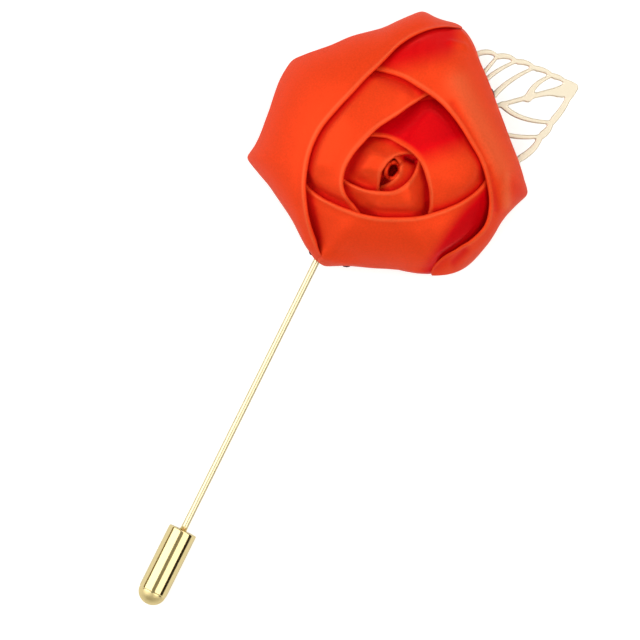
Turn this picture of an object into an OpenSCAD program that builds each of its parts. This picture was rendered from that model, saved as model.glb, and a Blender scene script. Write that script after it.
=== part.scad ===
// Flower lapel pin: a folded satin rose on a felt backing, with a pierced metal leaf behind it,
// a stick pin soldered to a round pad, and a cap pushed over the pin's point.
// It lies on its back on the table (z = 0) with the rose up and the pin along Y, the cap towards -Y.

/* [Flower] */
// Width across the flower
flower_w = 45; // [38:0.5:52]
// Height of the bud above the table
flower_h = 17; // [15:0.5:20]
// Thickness of a folded petal
petal_wall = 1.0; // [0.8:0.1:1.3]
// Clearance between two petals
petal_gap = 0.25; // [0.15:0.05:0.35]
// Turn of the flower on its pin, in degrees
flower_turn = 26.4; // [0:0.2:50]
// Sideways distance from the pin to the bud
flower_shift = 4.4; // [2:0.1:7]
// Radius of the rolled stem that carries the bud
stem_r = 2.6; // [2.2:0.1:3.2]
// Depth of the hole in the bud
bud_hole_depth = 6; // [3:0.5:8]

/* [Backing] */
// Thickness of the felt
felt_t = 1.0; // [1:0.1:2]
// How far the felt stays inside the petals' rims
felt_margin = 0.4; // [0.2:0.1:1]
// Clearance between glued layers
seat_gap = 0.05; // [0.02:0.01:0.1]

/* [Leaf] */
// Length of the leaf from its tip to its hidden base
leaf_l = 38; // [34:0.5:40]
// Half width on the side away from the pin
leaf_far_w = 10; // [8:0.5:12]
// Half width on the side towards the pin
leaf_near_w = 11.3; // [9:0.1:13]
// Thickness of the metal sheet
leaf_t = 0.45; // [0.3:0.05:0.6]
// Width of a vein
vein_w = 0.75; // [0.5:0.05:0.9]
// Width of the border
border_w = 0.85; // [0.6:0.05:1.2]
// Width of the midrib
rib_w = 0.7; // [0.6:0.05:1.3]
// Distance from the bud's axis to the leaf's tip
leaf_reach = 33; // [31:0.5:38]
// Place of the leaf's tip round the flower, in degrees
leaf_place = 24.6; // [15:0.2:30]
// Direction of the midrib in the flower's own frame, in degrees
leaf_turn = 14; // [8:0.5:20]

/* [Pin] */
// Diameter of the wire
wire_d = 1.1; // [0.9:0.05:1.4]
// Distance from the bud's axis to the cap's mouth
mouth_reach = 66; // [55:0.2:80]
// Length of the point inside the cap
point_l = 9.5; // [8:0.5:10]
// Length of the tapered end of the point
taper_l = 3; // [2:0.5:4]
// Depth of a grip notch
notch_depth = 0.2; // [0.17:0.01:0.24]
// Length of a grip notch
notch_l = 0.8; // [0.7:0.1:1.2]
// Distance from one grip notch to the next
notch_pitch = 1.8; // [1.6:0.1:2.2]
// Diameter of the soldered pad
pad_d = 10; // [8:0.5:11]
// Thickness of the pad
pad_t = 0.45; // [0.4:0.05:0.8]
// Distance from the bud's axis back to the pad's centre
pad_reach = 6; // [5:0.5:8]
// Width of the flattened shank under the flower
shank_w = 1.1; // [1:0.05:1.6]

/* [Cap] */
// Diameter of the cap
cap_d = 4.7; // [4:0.1:5.5]
// Length of the straight part
cap_body_l = 10.9; // [10.5:0.1:14]
// Height of the dome
cap_dome_h = 2.2; // [1.8:0.1:2.4]
// Step between the straight part and the dome
cap_step = 0.08; // [0.05:0.01:0.15]
// Chamfer of the mouth
cap_chamfer = 0.25; // [0.1:0.05:0.4]
// Radial clearance of the bore on the wire
bore_gap = 0.03; // [0.02:0.01:0.05]
// Depth of the bore
bore_l = 10.3; // [10.1:0.1:11]

/* [Hidden] */

// Heights of the stack, from the table up: the cap rests on the table and sets the wire's height
wire_r = wire_d / 2;
cap_r = cap_d / 2;
wire_z = cap_r;
solder = 0.1;
pad_z = wire_z + wire_r - solder;
felt_z = pad_z + pad_t + seat_gap;
felt_top = felt_z + felt_t;
rim_z = felt_top + petal_gap;
leaf_z = felt_z - seat_gap - leaf_t;

flower_r = flower_w / 2;
half_wall = petal_wall / 2;
layer = petal_wall + petal_gap;

// The petals are read from a point on the bud's axis this far below the table: from there the whole
// flower is nearly a dome, so a place on it is an angle of rise and a distance
dome_depth = 0.3 * flower_h;

// Every fold table has a row for each section and these columns: the angle round the bud, the reach
// of the fold's edge as a share of half the flower's width, and its height as a share of flower_h
ANGLE = 0;
REACH = 1;
HEIGHT = 2;

BUD_FOLD = [
    [0, 0.051, 0.90], [60, 0.044, 0.95], [110, 0.035, 0.99], [160, 0.031, 1.00], [205, 0.033, 0.99],
    [240, 0.046, 0.96], [275, 0.055, 0.92], [320, 0.052, 0.90], [360, 0.051, 0.90]
];
PETAL_1_FOLD = [
    [-145, 0.200, 0.75], [-128, 0.137, 0.81], [-113, 0.105, 0.91], [-96, 0.076, 0.95],
    [-60, 0.049, 0.97], [0, 0.047, 0.98], [38, 0.064, 0.97], [77, 0.084, 0.93],
    [95, 0.085, 0.90], [125, 0.095, 0.85]
];
PETAL_2_FOLD = [
    [28, 0.230, 0.80], [43, 0.166, 0.87], [62, 0.118, 0.93], [96, 0.072, 0.97], [130, 0.058, 0.98],
    [165, 0.058, 0.98], [200, 0.084, 0.96], [217, 0.106, 0.93], [236, 0.165, 0.85], [252, 0.230, 0.78]
];
PETAL_3_FOLD = [
    [180, 0.400, 0.76], [193, 0.330, 0.81], [207, 0.260, 0.87], [234, 0.178, 0.92],
    [267, 0.145, 0.945], [312, 0.130, 0.95], [348, 0.148, 0.93], [378, 0.186, 0.87], [392, 0.230, 0.81]
];
PETAL_4_FOLD = [
    [-66, 0.450, 0.65], [-49, 0.384, 0.73], [-34, 0.312, 0.82], [-12, 0.238, 0.90], [19, 0.196, 0.94],
    [54, 0.178, 0.955], [83, 0.195, 0.94], [107, 0.250, 0.89], [122, 0.285, 0.83], [137, 0.330, 0.76]
];
PETAL_5_FOLD = [
    [48, 0.700, 0.60], [64, 0.597, 0.69], [72, 0.490, 0.76], [86, 0.378, 0.84], [110, 0.307, 0.89],
    [136, 0.278, 0.91], [161, 0.297, 0.91], [180, 0.330, 0.90], [196, 0.358, 0.87], [209, 0.368, 0.84],
    [224, 0.372, 0.78], [234, 0.374, 0.73], [250, 0.390, 0.67]
];
PETAL_6_FOLD = [
    [174, 0.680, 0.60], [190, 0.604, 0.66], [201, 0.527, 0.73], [211, 0.461, 0.77], [227, 0.392, 0.80],
    [252, 0.341, 0.82], [280, 0.334, 0.82], [309, 0.394, 0.80], [325, 0.461, 0.77], [338, 0.545, 0.71],
    [353, 0.655, 0.62], [367, 0.730, 0.55]
];
PETAL_7_FOLD = [
    [-64, 0.772, 0.40], [-56, 0.776, 0.43], [-47, 0.768, 0.46], [-38, 0.762, 0.51], [-28, 0.744, 0.56],
    [-16, 0.712, 0.63], [-5, 0.663, 0.68], [6, 0.622, 0.72], [21, 0.577, 0.76], [39, 0.566, 0.78],
    [57, 0.582, 0.78], [72, 0.608, 0.75], [85, 0.660, 0.70], [98, 0.717, 0.62], [120, 0.840, 0.50]
];
PETAL_8_FOLD = [
    [64.5, 1.105, 0.34], [70, 1.065, 0.38], [75, 1.028, 0.42], [80, 0.972, 0.48], [86, 0.895, 0.56],
    [93, 0.790, 0.65],
    [100, 0.715, 0.71], [116, 0.614, 0.77], [133, 0.574, 0.785], [152, 0.576, 0.78], [167, 0.585, 0.77],
    [180, 0.598, 0.76], [189, 0.616, 0.75], [199, 0.638, 0.73], [211, 0.678, 0.68], [222, 0.723, 0.58],
    [226, 0.745, 0.53], [230, 0.765, 0.48]
];
FOLDS = [BUD_FOLD, PETAL_1_FOLD, PETAL_2_FOLD, PETAL_3_FOLD, PETAL_4_FOLD, PETAL_5_FOLD,
         PETAL_6_FOLD, PETAL_7_FOLD, PETAL_8_FOLD];
LAST = len(FOLDS) - 1;

// How far each petal swells out between its fold and its foot, as a share of its thickness
PUFF = [0, 0, 0, 0.2, 0.2, 0.2, 0.5, 0.5, 0.6];

// Outline of the flower: a row for each corner or side, with the angle, the reach as a share of half
// the flower's width, and the droop of the rim: 0 is level with the backing, 1 is down on the table
OUTLINE = [
    [-85, 0.706, 0], [-67, 0.792, 0.05], [-56, 0.845, 0.45], [-48, 0.854, 0.85], [-39, 0.846, 0.65],
    [-27, 0.843, 0.45], [-16, 0.901, 0.75], [-9.5, 0.976, 1], [-3, 0.935, 0.45], [4, 0.900, 0.08],
    [19.5, 0.884, 0], [39, 0.918, 0], [51, 1.008, 0.08], [57, 1.074, 0.25], [65.5, 1.151, 0.65],
    [71, 1.140, 0.85], [75, 1.147, 0.95], [79, 1.167, 1], [87, 1.097, 0.65], [99, 1.002, 0.20], [115, 1.000, 0],
    [125, 1.030, 0.25], [132, 1.060, 0.60], [140, 1.031, 0.50], [153, 0.972, 0.10], [163, 0.963, 0.20],
    [174, 1.025, 1], [180, 0.950, 0.55], [186, 0.871, 0.20], [206, 0.784, 0], [222, 0.808, 0],
    [229, 0.820, 0], [235, 0.823, 0], [244, 0.751, 0], [260, 0.715, 0], [275, 0.706, 0]
];
// Angle where the outline table starts and ends
OUTLINE_START = -85;

// Places where the felt shows at the rim: angle, half width in degrees, and how far it stands proud
PEEKS = [[36.5, 5, 0.2], [225, 2.5, 0.15], [244.4, 3.5, 0.2]];
PEEK_ANGLE = 0;
PEEK_WIDTH = 1;
PEEK_PROUD = 2;

// Veins of the leaf, from the tip to the base: where each leaves the midrib, where and how high it
// bends, and where it meets the border. Places along are shares of the leaf's length, and the height
// of the bend is a share of the border's height at the end. The first row is the solid tip's edge
ROOT = 0;
BEND = 1;
BEND_RISE = 2;
END = 3;
FAR_VEINS = [
    [0.078, 0.070, 0.60, 0.065], [0.225, 0.190, 1.00, 0.100], [0.420, 0.316, 0.90, 0.165],
    [0.513, 0.403, 0.90, 0.232], [0.605, 0.408, 0.65, 0.305], [0.700, 0.513, 0.70, 0.384],
    [0.790, 0.632, 0.60, 0.487], [0.868, 0.750, 0.60, 0.610]
];
NEAR_VEINS = [
    [0.165, 0.125, 0.30, 0.070], [0.335, 0.290, 0.80, 0.150], [0.487, 0.395, 0.93, 0.208],
    [0.592, 0.487, 0.80, 0.289], [0.697, 0.605, 0.70, 0.408], [0.790, 0.711, 0.60, 0.540],
    [0.868, 0.816, 0.60, 0.684]
];

// Steps of the smooth forms
STATIONS = [24, 30, 30, 28, 30, 32, 30, 27, 35];
STEPS = [0, 0.1, 0.22, 0.35, 0.48, 0.61, 0.74, 0.87, 1];
CURVE_STEPS = 8;
FELT_STATIONS = 72;
// How fast an inner petal may rise beyond an outer one's edges, in mm for each mm, and the length
// over which that rise begins
STEEP = 0.9;
EASE = 0.6;
// Length past an outer fold's edge that stays level
EDGE = 0.4;
// Share of that beside an outer petal's end
END_SHARE = 0.5;
// Degrees inside a petal's end over which the petals under it step in, and by how much its own rim
// is lifted over them there
END_RAMP = 7;
END_LIFT = 1.5;
// Degrees beyond a petal's end in which it still limits the petals under it
REACH_PAST_END = 25;
// How much further an inner petal steps down out of sight, and the degrees over which it does
TUCK = 0.3;
TUCK_RAMP = 6;
// Share of the nose that the rim's rounding takes
RIM_ROUND = 0.8;

// Smooth value of a table's column at an angle, a cubic through its rows
function row_before(table, angle, i = 0) =
    i >= len(table) - 2 || angle < table[i + 1][ANGLE] ? i : row_before(table, angle, i + 1);
function column(table, angle, c) =
    let (i = row_before(table, angle),
         p = table[max(i - 1, 0)],
         q = table[i],
         r = table[i + 1],
         s = table[min(i + 2, len(table) - 1)],
         w = r[ANGLE] - q[ANGLE],
         u = max(0, min(1, (angle - q[ANGLE]) / w)),
         rise_q = w * (r[c] - p[c]) / (r[ANGLE] - p[ANGLE]),
         rise_r = w * (s[c] - q[c]) / (s[ANGLE] - q[ANGLE]))
    q[c] * (2 * u ^ 3 - 3 * u ^ 2 + 1) + rise_q * (u ^ 3 - 2 * u ^ 2 + u)
        + r[c] * (3 * u ^ 2 - 2 * u ^ 3) + rise_r * (u ^ 3 - u ^ 2);

function turn_into(angle, start) = angle - 360 * floor((angle - start) / 360);
function total(list, i = 0) = i >= len(list) ? 0 : list[i] + total(list, i + 1);

// The outline at an angle
function rim_reach(angle) = flower_r * column(OUTLINE, turn_into(angle, OUTLINE_START), REACH);
function rim_height(angle) =
    rim_z * (1 - min(1, max(0, column(OUTLINE, turn_into(angle, OUTLINE_START), HEIGHT))));

// A petal's two ends, its angle nearest to a given one, and how far outside its ends that one lies
function first_angle(k) = FOLDS[k][0][ANGLE];
function last_angle(k) = FOLDS[k][len(FOLDS[k]) - 1][ANGLE];
function middle(k) = (first_angle(k) + last_angle(k)) / 2;
function own_turn(k, angle) = turn_into(angle, middle(k) - 180);
function nearest(k, angle) = max(first_angle(k), min(last_angle(k), own_turn(k, angle)));
function outside(k, angle) = abs(own_turn(k, angle) - nearest(k, angle));

// The nose of a fold: its tip as an angle of rise and a distance, and its half thickness as an angle
function tip_side(k, angle) = flower_r * column(FOLDS[k], angle, REACH);
function tip_up(k, angle) = flower_h * column(FOLDS[k], angle, HEIGHT) - half_wall + dome_depth;
function fold_distance(k, angle) = norm([tip_side(k, angle), tip_up(k, angle)]) + half_wall;
function nose_angle(distance) = half_wall / distance * 180 / PI;
// How squarely a fold lies across the way out from the bud: less than 1 where it runs aslant
function squareness(k, angle) =
    let (run = tip_side(k, angle + 1) - tip_side(k, angle - 1))
    1 / norm([1, run / (tip_side(k, angle) * PI / 90)]);
function fold_rise(k, angle) =
    atan2(tip_up(k, angle), tip_side(k, angle)) - nose_angle(fold_distance(k, angle));

// How many petals lie over this one at an angle, each counted fully from a little inside its ends
function inside(o, angle) =
    min(own_turn(o, angle) - first_angle(o), last_angle(o) - own_turn(o, angle));
function share_inside(o, angle) = max(0, min(1, inside(o, angle) / END_RAMP));
function cover(k, angle) =
    k >= LAST ? 0 : total([for (o = [k + 1:LAST]) share_inside(o, angle)]);
function foot_height(k, angle) =
    let (hidden = min(1, cover(k, angle)), open = rim_height(angle))
    open + hidden * (rim_z - open) + END_LIFT * (1 - share_inside(k, angle));
function foot_distance(k, angle) =
    norm([rim_reach(angle) - layer * cover(k, angle), foot_height(k, angle) + dome_depth]);
function rise_at(height, distance) =
    asin((height + dome_depth) / (distance - half_wall)) + RIM_ROUND * nose_angle(distance);
function foot_rise(k, angle) =
    min(rise_at(foot_height(k, angle), foot_distance(k, angle)), fold_rise(k, angle) - 1);

// Distance of a petal's outer face at an angle round the bud and an angle of rise: by itself it
// runs from its fold to its foot with a swell, and it stays one layer below every petal over it
function own_distance(k, angle, rise) =
    let (top = fold_rise(k, angle),
         share = max(0, min(1, (top - rise) / (top - foot_rise(k, angle)))),
         a = fold_distance(k, angle),
         b = foot_distance(k, angle))
    a + (b - a) * share + 4 * PUFF[k] * petal_wall * share * (1 - share);
function eased(x) = x <= 0 ? 0 : x ^ 2 / (x + EASE);
function ramp(x) = let (u = max(0, min(1, x))) u ^ 2 * (3 - 2 * u);
function room_below(o, angle, rise) =
    let (near = nearest(o, angle),
         top = fold_rise(o, near),
         foot = foot_rise(o, near),
         face = face_distance(o, near, max(foot, min(rise, top))),
         degree = face * PI / 180,
         past_fold = (rise - top) * degree * squareness(o, near) - half_wall - EDGE,
         past_foot = (foot - rise) * degree - half_wall,
         past_end = outside(o, angle) * degree * cos(rise))
    face - layer - TUCK * ramp((top - rise) / TUCK_RAMP) * ramp(inside(o, angle) / TUCK_RAMP)
        + STEEP * eased(norm([max(0, past_fold, past_foot), END_SHARE * past_end]));
function face_distance(k, angle, rise) =
    min(concat([own_distance(k, angle, rise)],
               k >= LAST ? [] :
               [for (o = [k + 1:LAST]) if (outside(o, angle) < REACH_PAST_END)
                room_below(o, angle, rise)]));

// Point of the flower from its angle round the bud, its angle of rise and its distance
function dome_point(angle, rise, distance) =
    [distance * cos(rise) * cos(angle), distance * cos(rise) * sin(angle),
     distance * sin(rise) - dome_depth];

// One closed section of a petal: outer face, rounded rim, inner face and rounded nose
function petal_section(k, angle) =
    let (top = fold_rise(k, angle),
         height = foot_height(k, angle),
         guess = rise_at(height, face_distance(k, angle, foot_rise(k, angle))),
         foot = min(top - 1, rise_at(height, face_distance(k, angle, guess))),
         rises = [for (s = STEPS) top + (foot - top) * s],
         faces = [for (r = rises) face_distance(k, angle, r)],
         last = len(STEPS) - 1,
         nose = nose_angle(faces[0]),
         round_rim = RIM_ROUND * nose_angle(faces[last]))
    concat([for (i = [0:last]) dome_point(angle, rises[i], faces[i])],
           [dome_point(angle, rises[last] - round_rim, faces[last] - half_wall)],
           [for (i = [last:-1:0]) dome_point(angle, rises[i], faces[i] - petal_wall)],
           [dome_point(angle, top + 0.75 * nose, faces[0] - 1.65 * half_wall),
            dome_point(angle, top + nose, faces[0] - half_wall),
            dome_point(angle, top + 0.75 * nose, faces[0] - 0.35 * half_wall)]);

// Two triangles of a four-cornered patch
function halves(q) = [[q[0], q[1], q[2]], [q[0], q[2], q[3]]];
function backwards(list) = [for (i = [len(list) - 1:-1:0]) list[i]];

// A flat end of a band: patches between its outer and inner face, its rim and its nose
function band_end(first) =
    let (last = len(STEPS) - 1,
         under = 2 * last + 2,
         faces = concat([for (i = [0:last - 1]) each halves([i, i + 1, under - i - 1, under - i])],
                        [[last, last + 1, last + 2]],
                        [for (j = [0:2]) [0, under + j, under + j + 1]]))
    [for (f = faces) [for (v = f) first + v]];

// A petal: a band skinned through its sections
module petal(k) {
    span = last_angle(k) - first_angle(k);
    m = STATIONS[k];
    sections = [for (i = [0:m]) petal_section(k, first_angle(k) + span * i / m)];
    n = len(sections[0]);
    sides = [for (i = [0:m - 1], j = [0:n - 1])
             [i * n + j, (i + 1) * n + j, (i + 1) * n + (j + 1) % n, i * n + (j + 1) % n]];
    color("orangered")
    polyhedron(points = [for (s = sections) each s],
               faces = concat([for (q = sides) each halves(q)],
                              band_end(0),
                              [for (f = band_end(m * n)) backwards(f)]));
}

// The bud: a rolled stem on the backing with an oval hole in its rounded top
function bud_section(angle) =
    let (tip = tip_side(0, angle),
         crest = fold_distance(0, angle),
         top = fold_rise(0, angle),
         nose = nose_angle(crest),
         face = face_distance(0, angle, top),
         shoulder = atan2(tip_up(0, angle) - petal_wall, stem_r),
         shoulder_face = min(face_distance(0, angle, shoulder),
                             norm([stem_r, tip_up(0, angle) - petal_wall])),
         side = shoulder_face * cos(shoulder))
    concat([[tip * 0.8 * cos(angle), tip * 0.8 * sin(angle), flower_h - bud_hole_depth],
            dome_point(angle, top + nose, face - half_wall),
            dome_point(angle, top + 0.6 * nose, face - 0.2 * half_wall),
            dome_point(angle, top, face)],
           [for (t = [0.25, 0.5, 0.75])
            let (rise = top + (shoulder - top) * t)
            dome_point(angle, rise, face_distance(0, angle, rise))],
           [dome_point(angle, shoulder, shoulder_face),
            [side * cos(angle), side * sin(angle), rim_z]]);

module bud() {
    m = STATIONS[0];
    rings = [for (i = [0:m - 1]) bud_section(i * 360 / m)];
    n = len(rings[0]);
    sides = [for (i = [0:m - 1], j = [0:n - 2])
             [i * n + j, ((i + 1) % m) * n + j, ((i + 1) % m) * n + j + 1, i * n + j + 1]];
    color("orangered")
    polyhedron(points = [for (r = rings) each r],
               faces = concat([for (q = sides) each halves(q)],
                              [[for (i = [m - 1:-1:0]) i * n]],
                              [[for (i = [0:m - 1]) i * n + n - 1]]));
}

// The felt follows the outline, steps back where the petals droop past it, and peeks out in places
function peek(angle) =
    total([for (p = PEEKS)
           let (d = abs(turn_into(angle - p[PEEK_ANGLE], -180)) / p[PEEK_WIDTH])
           d < 1 ? (felt_margin + p[PEEK_PROUD]) * (1 - d ^ 2) : 0]);
function felt_reach(angle) =
    let (drop = rim_z - rim_height(angle))
    rim_reach(angle) - felt_margin + peek(angle) - min(2 * layer, 3 * drop) - 0.6 * drop;

module backing() {
    color([0.12, 0.08, 0.12])
    translate([0, 0, felt_z])
    linear_extrude(felt_t)
    polygon([for (i = [0:FELT_STATIONS - 1])
             let (a = i * 360 / FELT_STATIONS) felt_reach(a) * [cos(a), sin(a)]]);
}

// The leaf in its own frame: u from the tip along the midrib, v across it
function half_width(u, w) = w * sin(180 * u / leaf_l);
function lobe(u, veins) =
    let (share = u / leaf_l,
         past = [for (v = veins) if (v[END] <= share) v[END]],
         ahead = [for (v = veins) if (v[END] > share) v[END]],
         a = len(past) == 0 ? 0 : max(past),
         b = len(ahead) == 0 ? 1 : min(ahead),
         x = (share - a) / (b - a))
    border_w * 0.6 * sin(180 * x ^ 0.7) * sin(180 * share) ^ 0.5;
function border(u, w, veins) = half_width(u, w) + lobe(u, veins);

// A vein is a curve that leaves the midrib, bends forward and meets the border
function vein_point(vein, w, veins, t) =
    let (end = vein[END] * leaf_l,
         a = [vein[ROOT] * leaf_l, rib_w / 2],
         c = [end, border(end, w, veins) - border_w],
         b = [vein[BEND] * leaf_l, vein[BEND_RISE] * c[1]])
    (1 - t) ^ 2 * a + 2 * t * (1 - t) * b + t ^ 2 * c;
function beside_vein(vein, w, veins, t, side) =
    let (p = vein_point(vein, w, veins, t),
         q = vein_point(vein, w, veins, t + 0.01) - vein_point(vein, w, veins, t - 0.01))
    p + side * vein_w / 2 * [-q[1], q[0]] / norm(q);

// An opening between two veins, bounded by the midrib and the border
function opening(i, w, veins) =
    let (steps = [for (s = [0:CURVE_STEPS]) s / CURVE_STEPS],
         forward = [for (t = steps) beside_vein(veins[i], w, veins, t, -1)],
         back = [for (t = steps) beside_vein(veins[i + 1], w, veins, 1 - t, 1)],
         u_a = forward[CURVE_STEPS][0],
         u_b = back[0][0],
         edge = [for (s = [1:CURVE_STEPS - 1])
                 let (u = u_a + (u_b - u_a) * s / CURVE_STEPS) [u, border(u, w, veins) - border_w]])
    concat(forward, edge, back);

function leaf_edge(w, veins) =
    [for (s = [1:8 * len(veins)]) let (u = leaf_l * s / (8 * len(veins) + 1)) [u, border(u, w, veins)]];
function mirrored(points) = [for (p = points) [p[0], -p[1]]];

module leaf_sheet() {
    edge = concat([[0, 0]], leaf_edge(leaf_far_w, FAR_VEINS), [[leaf_l, 0]],
                  backwards(mirrored(leaf_edge(leaf_near_w, NEAR_VEINS))));
    holes = concat([for (i = [0:len(FAR_VEINS) - 2]) opening(i, leaf_far_w, FAR_VEINS)],
                   [for (i = [0:len(NEAR_VEINS) - 2])
                    mirrored(opening(i, leaf_near_w, NEAR_VEINS))]);
    loops = concat([edge], holes);
    starts = [for (i = 0, n = 0; i < len(loops); n = n + len(loops[i]), i = i + 1) n];
    linear_extrude(leaf_t)
    polygon(points = [for (l = loops) each l],
            paths = [for (i = [0:len(loops) - 1])
                     [for (j = [0:len(loops[i]) - 1]) starts[i] + j]]);
}

module leaf() {
    color([0.96, 0.90, 0.72])
    translate([leaf_reach * cos(leaf_place), leaf_reach * sin(leaf_place), leaf_z])
    rotate([0, 0, leaf_turn + 180])
    mirror([0, 1, 0])
    leaf_sheet();
}

// The pin: a wire with grip notches at its point, a flattened shank under the flower and a pad
shank_reach = 0.82 * flower_r;
neck_l = 0.3;
bare_l = mouth_reach - neck_l - shank_reach;
notches_l = 3 * notch_pitch;
straight_l = neck_l + point_l - taper_l - notches_l;

module wire_length(l, r) {
    rotate([90, 0, 0])
    cylinder(h = l, r = r, $fn = 32);
}

module stick_pin() {
    color([0.93, 0.82, 0.48]) {
        translate([0, -shank_reach, wire_z])
        wire_length(bare_l, wire_r);
        for (i = [0:2]) {
            translate([0, -mouth_reach + neck_l - i * notch_pitch, wire_z]) {
                wire_length(notch_l, wire_r - notch_depth);
                translate([0, -notch_l, 0])
                wire_length(notch_pitch - notch_l, wire_r);
            }
        }
        translate([0, -mouth_reach + neck_l - notches_l, wire_z])
        wire_length(straight_l, wire_r);
        translate([0, -mouth_reach - point_l + taper_l, wire_z])
        rotate([90, 0, 0])
        cylinder(h = taper_l, r1 = wire_r, r2 = 0.1, $fn = 32);
        translate([-shank_w / 2, -shank_reach, wire_z - 0.8 * wire_r])
        cube([shank_w, shank_reach - pad_reach + 0.4 * pad_d, 1.8 * wire_r]);
        translate([0, -pad_reach, pad_z])
        cylinder(h = pad_t, d = pad_d, $fn = 64);
    }
}

// The cap: a turned tube with a chamfered mouth, a domed end and a blind bore
module pin_cap() {
    dome_r = cap_r - cap_step;
    color([0.95, 0.85, 0.50])
    translate([0, -mouth_reach, wire_z])
    rotate([90, 0, 0])
    difference() {
        union() {
            cylinder(h = cap_chamfer, r1 = cap_r - cap_chamfer, r2 = cap_r, $fn = 64);
            translate([0, 0, cap_chamfer])
            cylinder(h = cap_body_l - cap_chamfer, r = cap_r, $fn = 64);
            translate([0, 0, cap_body_l])
            rotate_extrude($fn = 64)
            polygon(concat([[0, -0.5], [dome_r, -0.5]],
                           [for (a = [0:10:80]) [dome_r * cos(a), cap_dome_h * sin(a)]],
                           [[0, cap_dome_h]]));
        }
        translate([0, 0, -1])
        cylinder(h = bore_l + 1, r = wire_r + bore_gap, $fn = 32);
    }
}

// The box of the whole part centres the frame: the flower is set off the pin and turned on it
function turned(p) =
    [flower_shift + p[0] * cos(flower_turn) - p[1] * sin(flower_turn),
     p[0] * sin(flower_turn) + p[1] * cos(flower_turn)];
rim_points = [for (a = [0:1:359]) turned(rim_reach(a) * [cos(a), sin(a)])];
tip_point = turned(leaf_reach * [cos(leaf_place), sin(leaf_place)]);
low_x = min([for (p = rim_points) p[0]]);
high_x = max(tip_point[0], max([for (p = rim_points) p[0]]));
high_y = max(tip_point[1], max([for (p = rim_points) p[1]]));
low_y = -mouth_reach - cap_body_l - cap_dome_h;
centre = [(low_x + high_x) / 2, (low_y + high_y) / 2];

module on_pin() {
    translate([-centre[0], -centre[1], 0])
    children();
}

module on_flower() {
    on_pin()
    translate([flower_shift, 0, 0])
    rotate([0, 0, flower_turn])
    children();
}

on_flower() bud();
on_flower() petal(1);  // petal_1
on_flower() petal(2);  // petal_2
on_flower() petal(3);  // petal_3
on_flower() petal(4);  // petal_4
on_flower() petal(5);  // petal_5
on_flower() petal(6);  // petal_6
on_flower() petal(7);  // petal_7
on_flower() petal(8);  // petal_8
on_flower() leaf();
on_flower() backing();
on_pin() stick_pin();
on_pin() pin_cap();
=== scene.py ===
"""Flower lapel pin: a rose of folded satin ribbon on felt, a pierced metal leaf, a stick pin and its cap.

Shapes are worked out in millimetres and put into the meshes in metres. The flower has its own frame:
its origin is the foot of the bud's axis on the table, and it is turned by FLOWER_TURN on the pin.
The rose's faces are told as distances from a point under the bud, by an angle round it and one of rise.
"""

from __future__ import annotations

import logging
import math
from dataclasses import dataclass, field
from enum import Enum

import bpy
import numpy as np
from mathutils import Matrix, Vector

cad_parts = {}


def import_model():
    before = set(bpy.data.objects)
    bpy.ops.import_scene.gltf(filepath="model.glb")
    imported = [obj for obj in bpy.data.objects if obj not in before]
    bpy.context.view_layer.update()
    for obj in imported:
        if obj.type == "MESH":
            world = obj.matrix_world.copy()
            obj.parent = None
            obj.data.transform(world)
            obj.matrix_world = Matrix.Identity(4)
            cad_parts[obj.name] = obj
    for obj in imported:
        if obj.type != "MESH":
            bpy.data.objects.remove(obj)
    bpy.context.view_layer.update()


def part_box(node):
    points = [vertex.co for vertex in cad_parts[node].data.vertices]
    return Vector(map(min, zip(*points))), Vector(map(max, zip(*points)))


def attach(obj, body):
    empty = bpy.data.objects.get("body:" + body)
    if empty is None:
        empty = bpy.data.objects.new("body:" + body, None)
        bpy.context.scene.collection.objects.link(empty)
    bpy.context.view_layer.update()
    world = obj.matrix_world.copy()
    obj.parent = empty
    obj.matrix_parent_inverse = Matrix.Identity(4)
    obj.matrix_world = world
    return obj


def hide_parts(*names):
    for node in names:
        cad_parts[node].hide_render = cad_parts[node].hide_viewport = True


Array = np.ndarray
Pair = tuple[float, float]
Triple = tuple[float, float, float]
Color = Triple
Tree = bpy.types.NodeTree
Socket = bpy.types.NodeSocket

LOG = logging.getLogger("lapel_pin")
MM = 0.001
# Turn of the flower on the pin, in degrees
FLOWER_TURN = 26.4
# Where the bud's axis stands: along the pin from the cap's mouth, and to the right of the pin
MOUTH_REACH = 66.0
BUD_ASIDE = 4.4
# Radius at which a turned profile starts and ends beside its axis
AXIS_R = 0.02
# Share of the coarse noise in the fine grain
COARSE_SHARE = 0.65


# Shared geometry


def ramp(value: Array) -> Array:
    """Smooth step: 0 below 0, 1 above 1, and the cubic 3u^2 - 2u^3 between them."""
    u = np.clip(value, 0.0, 1.0)
    return u * u * (3.0 - 2.0 * u)


def bell(distance: Array, width: float) -> Array:
    """Bell curve: e to the power of minus the square of the distance by the width."""
    return np.exp(-((distance / width) ** 2))


def counted_from(start: float, angle: Array) -> Array:
    """The same angles, counted within the full turn that begins at start."""
    return angle - 360.0 * np.floor((angle - start) / 360.0)


def turned(x: Array, y: Array, degrees: float) -> tuple[Array, Array]:
    """Places on the table, turned anticlockwise about its origin, seen from above."""
    t = math.radians(degrees)
    return x * math.cos(t) - y * math.sin(t), x * math.sin(t) + y * math.cos(t)


def smooth_min(a: Array, b: Array, radius: float) -> Array:
    """The lesser of two values, rounded where they are within radius of each other.

    Args:
        a: first values.
        b: second values.
        radius: difference below which the corner is rounded.

    Returns:
        The lesser value less a quarter of radius times the squared closeness.
    """
    closeness = np.maximum(radius - np.abs(a - b), 0.0) / radius
    return np.minimum(a, b) - closeness**2 * radius / 4.0


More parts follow.
